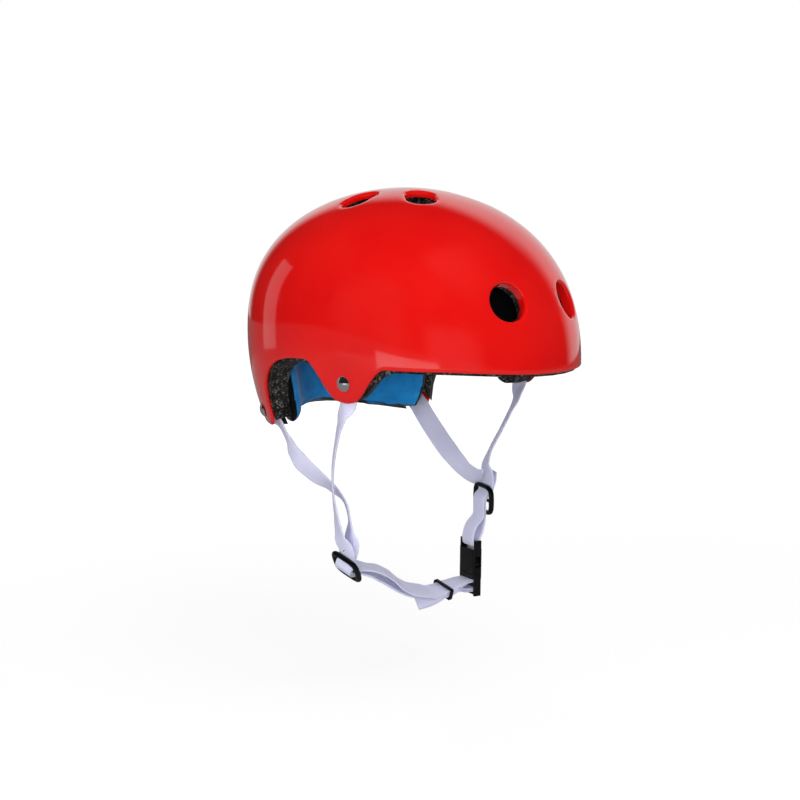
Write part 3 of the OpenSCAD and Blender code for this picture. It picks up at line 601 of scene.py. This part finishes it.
def make_shell():
    """One closed wall: the outer sheet with its lips and rolled edge, bridged to the inner sheet."""
    bm = bmesh.new()
    sheet(bm, 0, 0)
    facing_out(bm)
    lips = vent_lips(bm)
    rim = rolled_rim(bm, rim_edges(bm, lips))

    wall = bmesh.new()
    sheet(wall, SHELL_T, EDGE_UP)
    facing_out(wall)
    holes = [cut_vent(wall, place, LIP_T, SHELL_T) for place in vents()]
    wall.verts.index_update()
    holes = [[v.index for v in ring] for ring in holes]
    loose = bpy.data.meshes.new("inner_wall")
    wall.to_mesh(loose)
    wall.free()
    count = len(bm.verts)
    bm.from_mesh(loose)
    bpy.data.meshes.remove(loose)
    bm.verts.ensure_lookup_table()
    holes = [[bm.verts[count + i] for i in ring] for ring in holes]
    for lip, hole in zip(lips, holes):
        bmesh.ops.bridge_loops(bm, edges=ring_edges(bm, lip) + ring_edges(bm, hole))
    bmesh.ops.bridge_loops(bm, edges=rim + [e for e in rim_edges(bm, holes) if e not in set(rim)])
    bmesh.ops.recalc_face_normals(bm, faces=bm.faces)
    on_body(piece("shell", bm, RED, sharp=60), "helmet", "outer_shell")


# Liner and pads

# Where a pad's cover changes from its inner cloth to black: share of the surface's direction that is outwards
PAD_TURN = -0.35
# A pad's swelling: size of its remesh and farthest that a point moves, in millimetres, then the cloth's
# pressure, quality and frames
VOXEL_MM, SWELL_MM, PRESSURE, CLOTH_QUALITY, CLOTH_FRAMES = 2.5, 2.5, 4.0, 6, 20
# Nearer the axis than this the surface has no direction of its own, and up stands for it
CROWN_R = 1


def make_liner():
    """The foam keeps its CAD shape; only its seams are joined."""
    bm = from_node("foam_liner")
    bmesh.ops.recalc_face_normals(bm, faces=bm.faces)
    on_body(piece("bead_foam_liner", bm, EPS, sharp=30), "helmet", "foam_liner")


def apply(obj):
    """Puts the modified mesh in place of the object's own."""
    graph = bpy.context.evaluated_depsgraph_get()
    mesh = bpy.data.meshes.new_from_object(obj.evaluated_get(graph))
    obj.modifiers.clear()
    old = obj.data
    obj.data = mesh
    bpy.data.meshes.remove(old)


def puff(obj):
    """Remeshes a pad, swells it as cloth and caps how far each point moves."""
    remesh = obj.modifiers.new("remesh", "REMESH")
    remesh.mode = "VOXEL"
    remesh.voxel_size = VOXEL_MM * MM
    apply(obj)
    start = [v.co.copy() for v in obj.data.vertices]
    cloth = obj.modifiers.new("cloth", "CLOTH")
    cloth.settings.use_pressure = True
    cloth.settings.uniform_pressure_force = PRESSURE
    cloth.settings.effector_weights.gravity = 0
    cloth.settings.quality = CLOTH_QUALITY
    for f in range(1, CLOTH_FRAMES + 1):
        scene.frame_set(f)
    apply(obj)
    scene.frame_set(1)
    cap = SWELL_MM * MM
    for v, p in zip(obj.data.vertices, start):
        d = v.co - p
        if d.length > cap:
            v.co = p + d.normalized() * cap


def make_pad(node, name, cloth):
    """A pad in its cover: cloth on the side that meets the head, black cloth round the edge and behind."""
    bm = from_node(node)
    bmesh.ops.recalc_face_normals(bm, faces=bm.faces)
    obj = piece(name, bm, cloth)
    puff(obj)
    sub = obj.modifiers.new("smooth", "SUBSURF")
    sub.levels = sub.render_levels = 1
    apply(obj)
    obj.data.polygons.foreach_set("use_smooth", [True] * len(obj.data.polygons))
    cover = obj.data.attributes.new("cover", "FLOAT", "POINT")
    for v, mark in zip(obj.data.vertices, cover.data):
        p = v.co / MM
        a = angle_of(p)
        out = skin_out(a, p.z) if skin_r(a, p.z) > CROWN_R else UP
        mark.value = min(1, max(0, 0.5 + v.normal.dot(out) - PAD_TURN))
    on_body(obj, "helmet", node)


# Rivets: angle and height of each pair, and radius of the head; then radius of the shank, height of the dome
# and of its seat above the surface, depth and thickness of the formed tail
SIDE_RIVET, REAR_RIVET, RIVET_R = (70.7, -8.2), (130, -39.4), 5.6
SHANK_R, HEAD_H, HEAD_SEAT, TAIL_DEEP, TAIL_T = 2.0, 2.6, 0.25, 7.1, 1.2
# How far inside the radius the dome ends, and (distance inside, height) of the edge below it; how far the
# tail spreads at its faces and its middle, and how far its upper face falls
DOME_IN, HEAD_EDGE, TAIL_FACE, TAIL_MIDDLE, TAIL_FALL = 0.3, ((0, 0.35), (0, 0.1), (0.2, 0)), 0.8, 1.2, 0.1
DOME_STEPS, SPIN_STEPS = 8, 40


def make_rivets(name, node, place):
    """Two rivets, spun about their own axes: a domed head with a rolled edge, shank and formed tail."""
    bm = bmesh.new()
    ball = (RIVET_R ** 2 + HEAD_H ** 2) / (2 * HEAD_H)
    wide = math.asin((RIVET_R - DOME_IN) / ball)
    turns = [wide * k / DOME_STEPS for k in range(DOME_STEPS + 1)]
    profile = [(ball * math.sin(a), HEAD_SEAT + HEAD_H - ball + ball * math.cos(a)) for a in turns]
    profile += [(RIVET_R - within, HEAD_SEAT + height) for within, height in HEAD_EDGE]
    profile += [(SHANK_R, HEAD_SEAT), (SHANK_R, TAIL_T - TAIL_DEEP),
                (SHANK_R + TAIL_FACE, TAIL_T - TAIL_FALL - TAIL_DEEP),
                (SHANK_R + TAIL_MIDDLE, TAIL_T / 2 - TAIL_DEEP),
                (SHANK_R + TAIL_FACE, -TAIL_DEEP), (0, -TAIL_DEEP)]
    for side in (1, -1):
        a = side * place[0]
        out, centre = skin_out(a, place[1]), skin(a, place[1])
        across = out.orthogonal().normalized()
        chain = [bm.verts.new(centre + across * r + out * h) for r, h in profile]
        edges = [bm.edges.new(pair) for pair in zip(chain, chain[1:])]
        bmesh.ops.spin(bm, geom=chain + edges, cent=centre, axis=out, angle=2 * math.pi, steps=SPIN_STEPS,
                       use_merge=True)
    bmesh.ops.remove_doubles(bm, verts=bm.verts, dist=SPIN_MERGE)
    bmesh.ops.recalc_face_normals(bm, faces=bm.faces)
    on_body(piece(name, bm, STEEL, sharp=40), "helmet", node)


# Strap adjusters: half sizes and corner power of the ring's middle line, and half sizes of its rail's round
# section; the middle bar's half length, half height and half depth
RING_X, RING_Y, RING_POWER, RAIL_X, RAIL_Y, RAIL_DEEP = 11.5, 10.8, 4.2, 2.5, 1.9, 2.1
MIDDLE_BAR = (10.5, 1.5, 1.3)
RING_STEPS, RAIL_STEPS = 64, 14
# The bar's ribs: steps to either end of it, steps from rib to rib, and how slim it is between them
BAR_STEPS, RIB_STEPS, RIB_GAP = 20, 4, 0.86


def square_to(x, z):
    """Axes from a width direction and a rough facing: the width, the way up the strap and the true facing."""
    x, z = Vector(x).normalized(), Vector(z)
    z = (z - x * x.dot(z)).normalized()
    return x, z.cross(x), z


def make_adjuster(name, node, at, x, z):
    """A moulded ring with a bar across its middle, which the strap passes over; the bar is ribbed to grip."""
    at = Vector(at)
    x, y, z = square_to(x, z)
    turns = [2 * math.pi * k / RAIL_STEPS for k in range(RAIL_STEPS)]

    def rail(turn):
        c, s = math.cos(turn), math.sin(turn)
        r = ((abs(c) / RING_X) ** RING_POWER + (abs(s) / RING_Y) ** RING_POWER) ** (-1 / RING_POWER)
        half = lerp(RAIL_X, RAIL_Y, s * s)
        away = [r + half * math.cos(a) for a in turns]
        return [at + x * c * d + y * s * d + z * RAIL_DEEP * math.sin(a) for d, a in zip(away, turns)]

    def bar(across, share):
        length, high, deep = MIDDLE_BAR
        return [at + x * across * length + y * high * share * math.cos(a) + z * deep * share * math.sin(a)
                for a in turns]

    bm = bmesh.new()
    swept(bm, [rail(2 * math.pi * k / RING_STEPS) for k in range(RING_STEPS)], True)
    swept(bm, [bar(k / BAR_STEPS - 1, RIB_GAP if k % RIB_STEPS < RIB_STEPS / 2 else 1.0)
               for k in range(2 * BAR_STEPS + 1)], False)
    bmesh.ops.recalc_face_normals(bm, faces=bm.faces)
    on_body(piece(name, bm, BLACK, sharp=60), node, node)


# Webbing: width, thickness and distance between its rings; the room that bars and plies leave round it, and
# its gap behind the shell; points round it and steps round each of its edges
WEB_W, WEB_T, WEB_STEP, FIT, BEHIND_SHELL = 16.0, 1.3, 2.5, 0.3, 0.7
SECTION, EDGE_STEPS = 16, 4
# Distance between plies, and depth of the outer ply's face under the shell's surface
PLY = WEB_T + FIT
WEB_DEPTH = SHELL_T + BEHIND_SHELL


def key(p, width, share=0.0, shift=0.0):
    """A station of a strap: centre, width direction, and how far off its line the plies lie."""
    return Vector(p), Vector(width).normalized(), share, shift


def spline(a, b, c, d, t):
    """Smooth curve from b to c, whose slopes allow for uneven spacing of the points."""
    before, span, after = (b - a).length, (c - b).length, (d - c).length
    way = (c - b) / span
    slope_b = (way * before + ((b - a) / before if before else way) * span) / (before + span)
    slope_c = ((d - c) / after * span + way * after) / (span + after) if after else way
    return (b * (2 * t ** 3 - 3 * t * t + 1) + slope_b * span * (t ** 3 - 2 * t * t + t)
            + c * (3 * t * t - 2 * t ** 3) + slope_c * span * (t ** 3 - t * t))


def stations(keys, before=(), after=()):
    """Stations along a smooth curve through keys; before and after only give its slopes at the ends."""
    line = [*before, *keys, *after]
    first = len(before)
    made = []
    for i in range(first, first + len(keys) - 1):
        a, b, c, d = line[max(0, i - 1)], line[i], line[i + 1], line[min(len(line) - 1, i + 2)]
        parts = max(1, round((c[0] - b[0]).length / WEB_STEP))
        for j in range(parts):
            t = j / parts
            made.append((spline(a[0], b[0], c[0], d[0], t), b[1].lerp(c[1], ease(t)).normalized(),
                         lerp(b[2], c[2], t), lerp(b[3], c[3], t)))
    return made + [line[first + len(keys) - 1]]


def along(s, i):
    """The direction of a line of stations at station i."""
    return (s[min(len(s) - 1, i + 1)][0] - s[max(0, i - 1)][0]).normalized()


def lifted(s, lift):
    """Moves stations off their line along the band's face, by their share of lift and their own shift."""
    return [key(p + along(s, i).cross(w).normalized() * (lift * share + shift), w)
            for i, (p, w, share, shift) in enumerate(s)]


def lead(keys, following):
    """Stations that lead smoothly into the line that follows."""
    return stations([*keys, following[0]], (), [following[1]])[:-1]


def link(last, keys, following):
    """Stations that join one line smoothly to the line that follows."""
    return stations([last[-1], *keys, following[0]], [last[-2]], [following[1]])[1:-1]


def strap_end(place, side, run, length, bend):
    """The strap behind a rivet: it starts above the rivet, runs down and bends inwards with the shell."""
    out = skin_out(side * place[0], place[1])
    down = (run - out * run.dot(out)).normalized()
    p = skin(side * place[0], place[1]) - out * (WEB_DEPTH + WEB_T / 2)
    return [key(p + down * d - out * bend * max(0, d - RIVET_R) ** 2, down.cross(out) * side)
            for d in (-STRAP_BEHIND, 0, length / 2, length)]


def thread(points, at, x, z):
    """The way through an adjuster: points are (distance down, height in front, share of the plies' gap)."""
    x, y, z = square_to(x, z)
    return [key(Vector(at) - y * down + z * up, x, share) for down, up, share in points]


def section(k):
    """Point k of SECTION round the webbing, as (across, above): flat faces and rolled edges."""
    r = WEB_T / 2
    half, k = divmod(k, SECTION // 2)
    turn = -1 if half else 1
    if k <= EDGE_STEPS:
        a = math.radians(180 / EDGE_STEPS * k - 90)
        return turn * (WEB_W / 2 - r + r * math.cos(a)), turn * r * math.sin(a)
    return turn * (WEB_W / 2 - r) * (EDGE_STEPS - 1 - 2 * (k - EDGE_STEPS)) / EDGE_STEPS, turn * r


def webbing(name, line, node):
    """Sweeps the band's section along a line of stations, with its weave laid out in a UV map."""
    bm = bmesh.new()
    weave = bm.loops.layers.uv.new("weave")
    points = [section(k) for k in range(SECTION)]
    outlines, lengths = [], []
    for i, (p, w, _, _) in enumerate(line):
        lengths.append(lengths[-1] + (p - line[i - 1][0]).length if i else 0.0)
        ahead = along(line, i)
        face = ahead.cross(w).normalized()
        wide = face.cross(ahead)
        outlines.append([p + wide * across + face * above for across, above in points])
    where = {}
    for ring, length in zip(swept(bm, outlines, False), lengths):
        for v, (across, _) in zip(ring, points):
            where[v] = (across * MM, length * MM)
    for face in bm.faces:
        for corner in face.loops:
            corner[weave].uv = where[corner.vert]
    bmesh.ops.recalc_face_normals(bm, faces=bm.faces)
    obj = piece(name, bm, WEBBING, sharp=50)
    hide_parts(node)
    return obj


# A strap's end: its run behind each rivet, how far it starts above, its length below and the rear one's bend
SIDE_RUN, REAR_RUN = Vector((0, 0, -1)), Vector((0.75, 0, -0.66)).normalized()
STRAP_BEHIND, SIDE_END, REAR_END, REAR_BEND = 7.4, 14, 14, 0.05
# Adjusters: centre of the rail across each end, the strap's way through, then place, width and facing
ADJUSTER_L, RAIL_W = 25, 3.5
RAIL_MID = ADJUSTER_L / 2 - RAIL_W / 2
IN_OVER = ((2.4 - RAIL_MID, -3, 1), (-5.2, -0.4, 1), (-2.6, 2.6, 1), (0, 3.6, 1))
OUT_FRONT = ((-RAIL_MID - 4, -5.4, 1.4), (-RAIL_MID, -4.1, 1), *IN_OVER, (5.2, 3.8, 1), (RAIL_MID, 3.8, 1),
             (RAIL_MID + 2, 3.8, 1))
OUT_BACK = ((-RAIL_MID - 4, -6, 2.2), (-RAIL_MID, -4.1, 1.25), *IN_OVER, (2.6, 2.7, 1), (4.7, 0.8, 1),
            (6.3, -1.5, 1.15), (7.5, -4.2, 1.35))
ADJUSTER_RIGHT = ((10.6, -75.7, -152.5), (0.93, 0.1, -0.35), (-0.13, -0.8, -0.58))
ADJUSTER_LEFT = ((25.6, 69.7, -117.8), (0.95, -0.29, -0.09), (-0.3, -0.95, -0.07))

# Buckle: its place and axes; its thickness, the socket's top above its place, the plug's top below it and
# the plug's solid block; the bars' radius, the play under the upper one, and how far from the buckle's face
# the strap spreads to go round the lower one
BUCKLE_AT = Vector((22, 58.5, -174))
BUCKLE_TURN = math.radians(-16)
BUCKLE_X = Vector((math.cos(BUCKLE_TURN), math.sin(BUCKLE_TURN), 0))
BUCKLE_Y = Vector((-math.sin(BUCKLE_TURN), math.cos(BUCKLE_TURN), 0))
BUCKLE_T, SOCKET_TOP, PLUG_TOP, PLUG_BLOCK = 9, 16, 4.3, 4.6
BAR_R, LOOP_PLAY, SLOT_PAST = 1.8, 0.6, 2
LOOP_AT = BUCKLE_AT + UP * (SOCKET_TOP + FIT + PLY + BAR_R + WEB_T / 2 + LOOP_PLAY)
LOOP_R = BAR_R + FIT + WEB_T / 2
PLUG_WRAP = BAR_R + FIT + 2 * PLY
LOCK_AT = BUCKLE_AT - UP * (PLUG_TOP + PLUG_BLOCK + PLUG_WRAP + FIT)
WRAP_R = BAR_R + FIT + PLY
SLOT_RUN = BUCKLE_T / 2 + SLOT_PAST
# Angles of the strap's stations on its half turn round a bar
WRAP_STEPS = 8
TURNS = [math.radians(180 / WRAP_STEPS * i) for i in range(WRAP_STEPS + 1)]

# The straps' free runs between rivet, adjuster, buckle and keeper
LEFT_FRONT_MID = [key((38.6, 95, -34), (0.78, -0.6, -0.15)), key((34.8, 93.1, -43.7), (0.68, -0.73, -0.08)),
                  key((27.6, 88, -62.5), (0.7, -0.71, 0.03)), key((22.2, 81.7, -79), (0.72, -0.68, 0.1)),
                  key((21.3, 76.5, -91.5), (0.84, -0.52, 0.08))]
LEFT_REAR_MID = [key((-49.8, 79.5, -55.4), (0.58, 0.6, 0.55)), key((-35.6, 78.6, -69.6), (0.58, 0.6, 0.55)),
                 key((-22.5, 77.2, -81), (0.6, 0.5, 0.62)), key((-10, 77, -91.3), (0.62, 0.15, 0.77)),
                 key((0.5, 78.3, -99.3), (0.6, -0.12, 0.8)), key((12.5, 79.5, -103.5), (0.74, -0.25, 0.62))]
LOOP_DOWN = [key((20.6, 60.3, -140), (0.95, -0.31, -0.08))]
LOOP_UP = [key((23, 66.8, -142), (0.95, -0.31, -0.08))]
RIGHT_FRONT_MID = [
    key((30.6, -101, -31.5), (0.85, -0.4, -0.35)), key((25.4, -99.6, -43.5), (0.7, -0.59, -0.41)),
    key((19.2, -96.8, -58), (0.66, -0.63, -0.41)), key((12.6, -92.8, -75), (0.68, -0.63, -0.38)),
    key((8, -88, -92.5), (0.73, -0.64, -0.25)), key((7.1, -84, -110), (0.82, -0.57, -0.08)),
    key((8.5, -82.4, -123.4), (0.89, -0.42, 0)), key((10.7, -82.2, -131.8), (0.93, -0.2, -0.1))]
RIGHT_REAR_MID = [
    key((-49.6, -82.6, -57.8), (0.57, -0.56, 0.6)), key((-40.2, -85.2, -67.1), (0.72, -0.28, 0.64)),
    key((-31.6, -84.4, -75.6), (0.68, -0.06, 0.73)), key((-21.9, -81.9, -82.9), (0.6, -0.2, 0.77)),
    key((-5.9, -76.6, -92.7), (0.59, -0.53, 0.6)), key((3.9, -71.7, -103.3), (0.73, -0.64, 0.24)),
    key((8.4, -70.9, -116), (0.71, -0.65, 0.26)), key((11.6, -74.3, -128.5), (0.87, -0.4, 0.1))]
CHIN = [key((15.2, -59, -157.2), (0.92, -0.3, -0.2), 2.8), key((18.2, -48.5, -161.3), (0.87, -0.35, -0.3), 4),
        key((20.3, -38.8, -167.2), (0.85, -0.36, -0.37), 3.7),
        key((22, -30, -173.5), (0.83, -0.33, -0.45), 2.2),
        key((23.2, -20, -178.6), (0.82, -0.25, -0.51), 1.1), key((23.5, -5.9, -183), (0.82, -0.2, -0.54), 1)]
KEEPER_AT = Vector((21, 25, -187.8))
KEEPER_X, KEEPER_Y = Vector((0.95, 0, -0.3)), Vector((0.04, 1, 0.1)).normalized()
STACK = [key(KEEPER_AT + Vector((-0.5, -12, -0.9)), (0.88, -0.1, -0.44), 1, -PLY),
         key(KEEPER_AT - KEEPER_Y * 3, KEEPER_X, 1, -PLY), key(KEEPER_AT + KEEPER_Y * 3, KEEPER_X, 1, -PLY),
         key(KEEPER_AT + Vector((0.5, 12, 1.2)), (0.96, -0.1, -0.15), 1, -PLY)]
TAIL = [key((16.4, 13, -193.2), (0.84, -0.22, -0.5), 1), key((10.2, 4.4, -196.2), (0.82, -0.26, -0.51), 1)]


def make_left_strap():
    """One length: down from the side rivet, through the adjuster and buckle, and up to the rear rivet."""
    through = stations(thread(OUT_FRONT, *ADJUSTER_LEFT))
    down, up = lifted(through, PLY / 2), lifted(through, -PLY / 2)[::-1]
    loop = [key(LOOP_AT - (BUCKLE_Y * math.cos(a) + UP * math.sin(a)) * LOOP_R, BUCKLE_X) for a in TURNS]
    front = lead(strap_end(SIDE_RIVET, 1, SIDE_RUN, SIDE_END, 0) + LEFT_FRONT_MID, down)
    rear = lead(strap_end(REAR_RIVET, 1, REAR_RUN, REAR_END, REAR_BEND) + LEFT_REAR_MID, up[::-1])
    line = front + down + link(down, LOOP_DOWN, loop) + loop + link(loop, LOOP_UP, up) + up + rear[::-1]
    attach(webbing("left_webbing", line, "left_strap"), "helmet")


def make_right_straps():
    """Two plies: each runs from its rivet through the adjuster, under the chin and through the keeper, turns
    round the plug's bar and comes back as the loose tail."""
    wrap = [key(LOCK_AT + (BUCKLE_Y * math.sin(a) + UP * math.cos(a)) * WRAP_R, BUCKLE_X, 1) for a in TURNS]
    slots = [key(LOCK_AT - BUCKLE_Y * SLOT_RUN + UP * side * WRAP_R, BUCKLE_X, 1) for side in (1, -1)]
    band = stations(thread(OUT_BACK, *ADJUSTER_RIGHT) + CHIN + STACK + [slots[0]] + wrap + [slots[1]]
                    + STACK[:0:-1] + TAIL)
    for name, node, end, middle, lift in (
            ("front_right_webbing", "front_strap_right", (SIDE_RIVET, -1, SIDE_RUN, SIDE_END, 0),
             RIGHT_FRONT_MID, PLY / 2),
            ("rear_right_webbing", "rear_strap_right", (REAR_RIVET, -1, REAR_RUN, REAR_END, REAR_BEND),
             RIGHT_REAR_MID, -PLY / 2)):
        plies = lifted(band, lift)
        obj = webbing(name, lead(strap_end(*end) + middle, plies) + plies, node)
        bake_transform(obj)


# All the pieces

make_shell()
make_liner()
make_left_strap()
make_right_straps()
# The side and crown pads are black, which also paints the shade inside the helmet seen through the vents
for node, name, cloth in (("front_pad", "front_pad_cover", BLUE), ("rear_pad", "rear_pad_cover", BLUE),
                          ("side_pad_left", "left_pad_cover", BLACK_CLOTH_AND_SHADE),
                          ("side_pad_right", "right_pad_cover", BLACK_CLOTH_AND_SHADE),
                          ("crown_pad", "crown_pad_cover", BLACK_CLOTH_AND_SHADE)):
    make_pad(node, name, cloth)
make_adjuster("left_adjuster", "slider_left", *ADJUSTER_LEFT)
make_adjuster("right_adjuster", "slider_right", *ADJUSTER_RIGHT)
for node, name, body in (("buckle_socket", "buckle_housing", "helmet"),
                         ("buckle_plug", "buckle_tongue", "buckle_plug"),
                         ("prong_front", "front_spring_arm", "prong_front"),
                         ("prong_rear", "rear_spring_arm", "prong_rear"),
                         ("strap_keeper", "keeper_loop", "strap_keeper")):
    softened(node, name, body)
make_rivets("ear_rivets", "side_rivets", SIDE_RIVET)
make_rivets("nape_rivets", "rear_rivets", REAR_RIVET)
finish_node("rivet_washers", STEEL)
finish_node("hook_patches", HOOK)

# Studio

# The floor's height in metres and its reach in millimetres; how it glows to the camera, over distances from
# the middle in metres, and the share of that glow that gloss shows
FLOOR_Z, FLOOR_SIZE = -0.26, 6000
GLOW_FROM_TO, GLOW, GLOW_IN_GLOSS = (0.4, 2.4), (0.81, 0.97), 0.06
# The white backdrop that gloss and metal show: its direction, the angles of its bright part and of its soft
# edge in degrees, and its brightness; then how bright the rest of the room is to gloss and to matt surfaces
BACKDROP = ((-0.45, 0.88, 0.05), 34, 50, 0.75)
DIM, EVEN = 0.02, 0.36


def make_studio():
    """The camera sees white, gloss a bright backdrop in a dim room, and matt surfaces an even pale light."""
    scene.view_settings.view_transform = "Standard"
    t = Tree("studio", bpy.data.worlds)
    scene.world = t.owner
    at, inner, outer, bright = BACKDROP
    facing = t.add("ShaderNodeVectorMath", {0: t.add("ShaderNodeTexCoord").outputs["Generated"],
                                            1: Vector(at).normalized()}, operation="DOT_PRODUCT")
    level = t.smooth(facing.outputs["Value"], math.cos(math.radians(outer)), math.cos(math.radians(inner)),
                     DIM, bright)
    path = t.add("ShaderNodeLightPath").outputs
    seen = t.math("MAXIMUM", path["Is Camera Ray"], path["Is Transmission Ray"])
    shown, mirrored, lit = (t.add("ShaderNodeBackground", {"Color": WHITE, "Strength": strength}).outputs[0]
                            for strength in (1.0, level, EVEN))
    gloss = t.add("ShaderNodeMixShader", {0: path["Is Glossy Ray"], 1: lit, 2: mirrored}).outputs[0]
    mixed = t.add("ShaderNodeMixShader", {0: seen, 1: gloss, 2: shown}).outputs[0]
    t.add("ShaderNodeOutputWorld", {"Surface": mixed})


def make_floor():
    """A pale matt floor that takes the object's shadow. A glow, which fades in with distance, makes it near
    white to the camera and faintly pale in gloss."""
    t = Tree("painted_pale_floor")
    path = t.add("ShaderNodeLightPath").outputs
    matt = t.add("ShaderNodeBsdfDiffuse", {"Color": linear("#7c7c7c")}).outputs[0]
    where = t.add("ShaderNodeTexCoord").outputs["Object"]
    away = t.add("ShaderNodeVectorMath", {"Vector": where}, operation="LENGTH").outputs["Value"]
    level = t.smooth(away, *GLOW_FROM_TO, *GLOW)
    glow = t.add("ShaderNodeEmission", {"Color": WHITE, "Strength": level}).outputs[0]
    both = t.add("ShaderNodeAddShader", {0: matt, 1: glow}).outputs[0]
    share = t.math("ADD", path["Is Camera Ray"], t.math("MULTIPLY", path["Is Glossy Ray"], GLOW_IN_GLOSS))
    mixed = t.add("ShaderNodeMixShader", {0: share, 1: matt, 2: both}).outputs[0]
    t.add("ShaderNodeOutputMaterial", {"Surface": mixed})
    bm = bmesh.new()
    bmesh.ops.create_grid(bm, x_segments=1, y_segments=1, size=FLOOR_SIZE,
                          matrix=Matrix.Translation((0, 0, FLOOR_Z / MM)))
    piece("floor", bm, t.owner)


def softbox(name, at, target, size, watts, seen=False):
    """A large soft lamp, in metres. Those marked as seen, the two windows, also show in gloss."""
    data = bpy.data.lights.new(name, "AREA")
    data.shape = "RECTANGLE"
    data.size, data.size_y = size
    data.energy = watts
    obj = bpy.data.objects.new(name, data)
    at, target = Vector(at), Vector(target)
    obj.location = at
    obj.rotation_euler = (target - at).to_track_quat("-Z", "Y").to_euler()
    obj.visible_glossy = seen
    scene.collection.objects.link(obj)


make_studio()
make_floor()
softbox("key", (1.0, -0.2, 1.6), (0, 0, 0), (1.2, 1.2), 13)
softbox("fill", (-0.2, -1.8, 0.3), (0, 0, -0.1), (1.4, 1.6), 15)
softbox("front", (1.3, -1.2, -0.05), (0, 0, -0.1), (1.2, 0.9), 21)
softbox("rim", (1.3, 1.2, 0.5), (0, 0, 0), (1.0, 1.6), 7)
softbox("back", (-1.4, 0.9, 0.6), (0, 0, 0), (1.4, 1.6), 12)
softbox("low_window", (0.28, -0.96, -0.15), (0.05, -0.1, 0), (0.7, 0.14), 0.35, True)
softbox("side_window", (-1.13, -0.41, 0.2), (-0.05, -0.08, 0), (0.3, 0.7), 0.3, True)
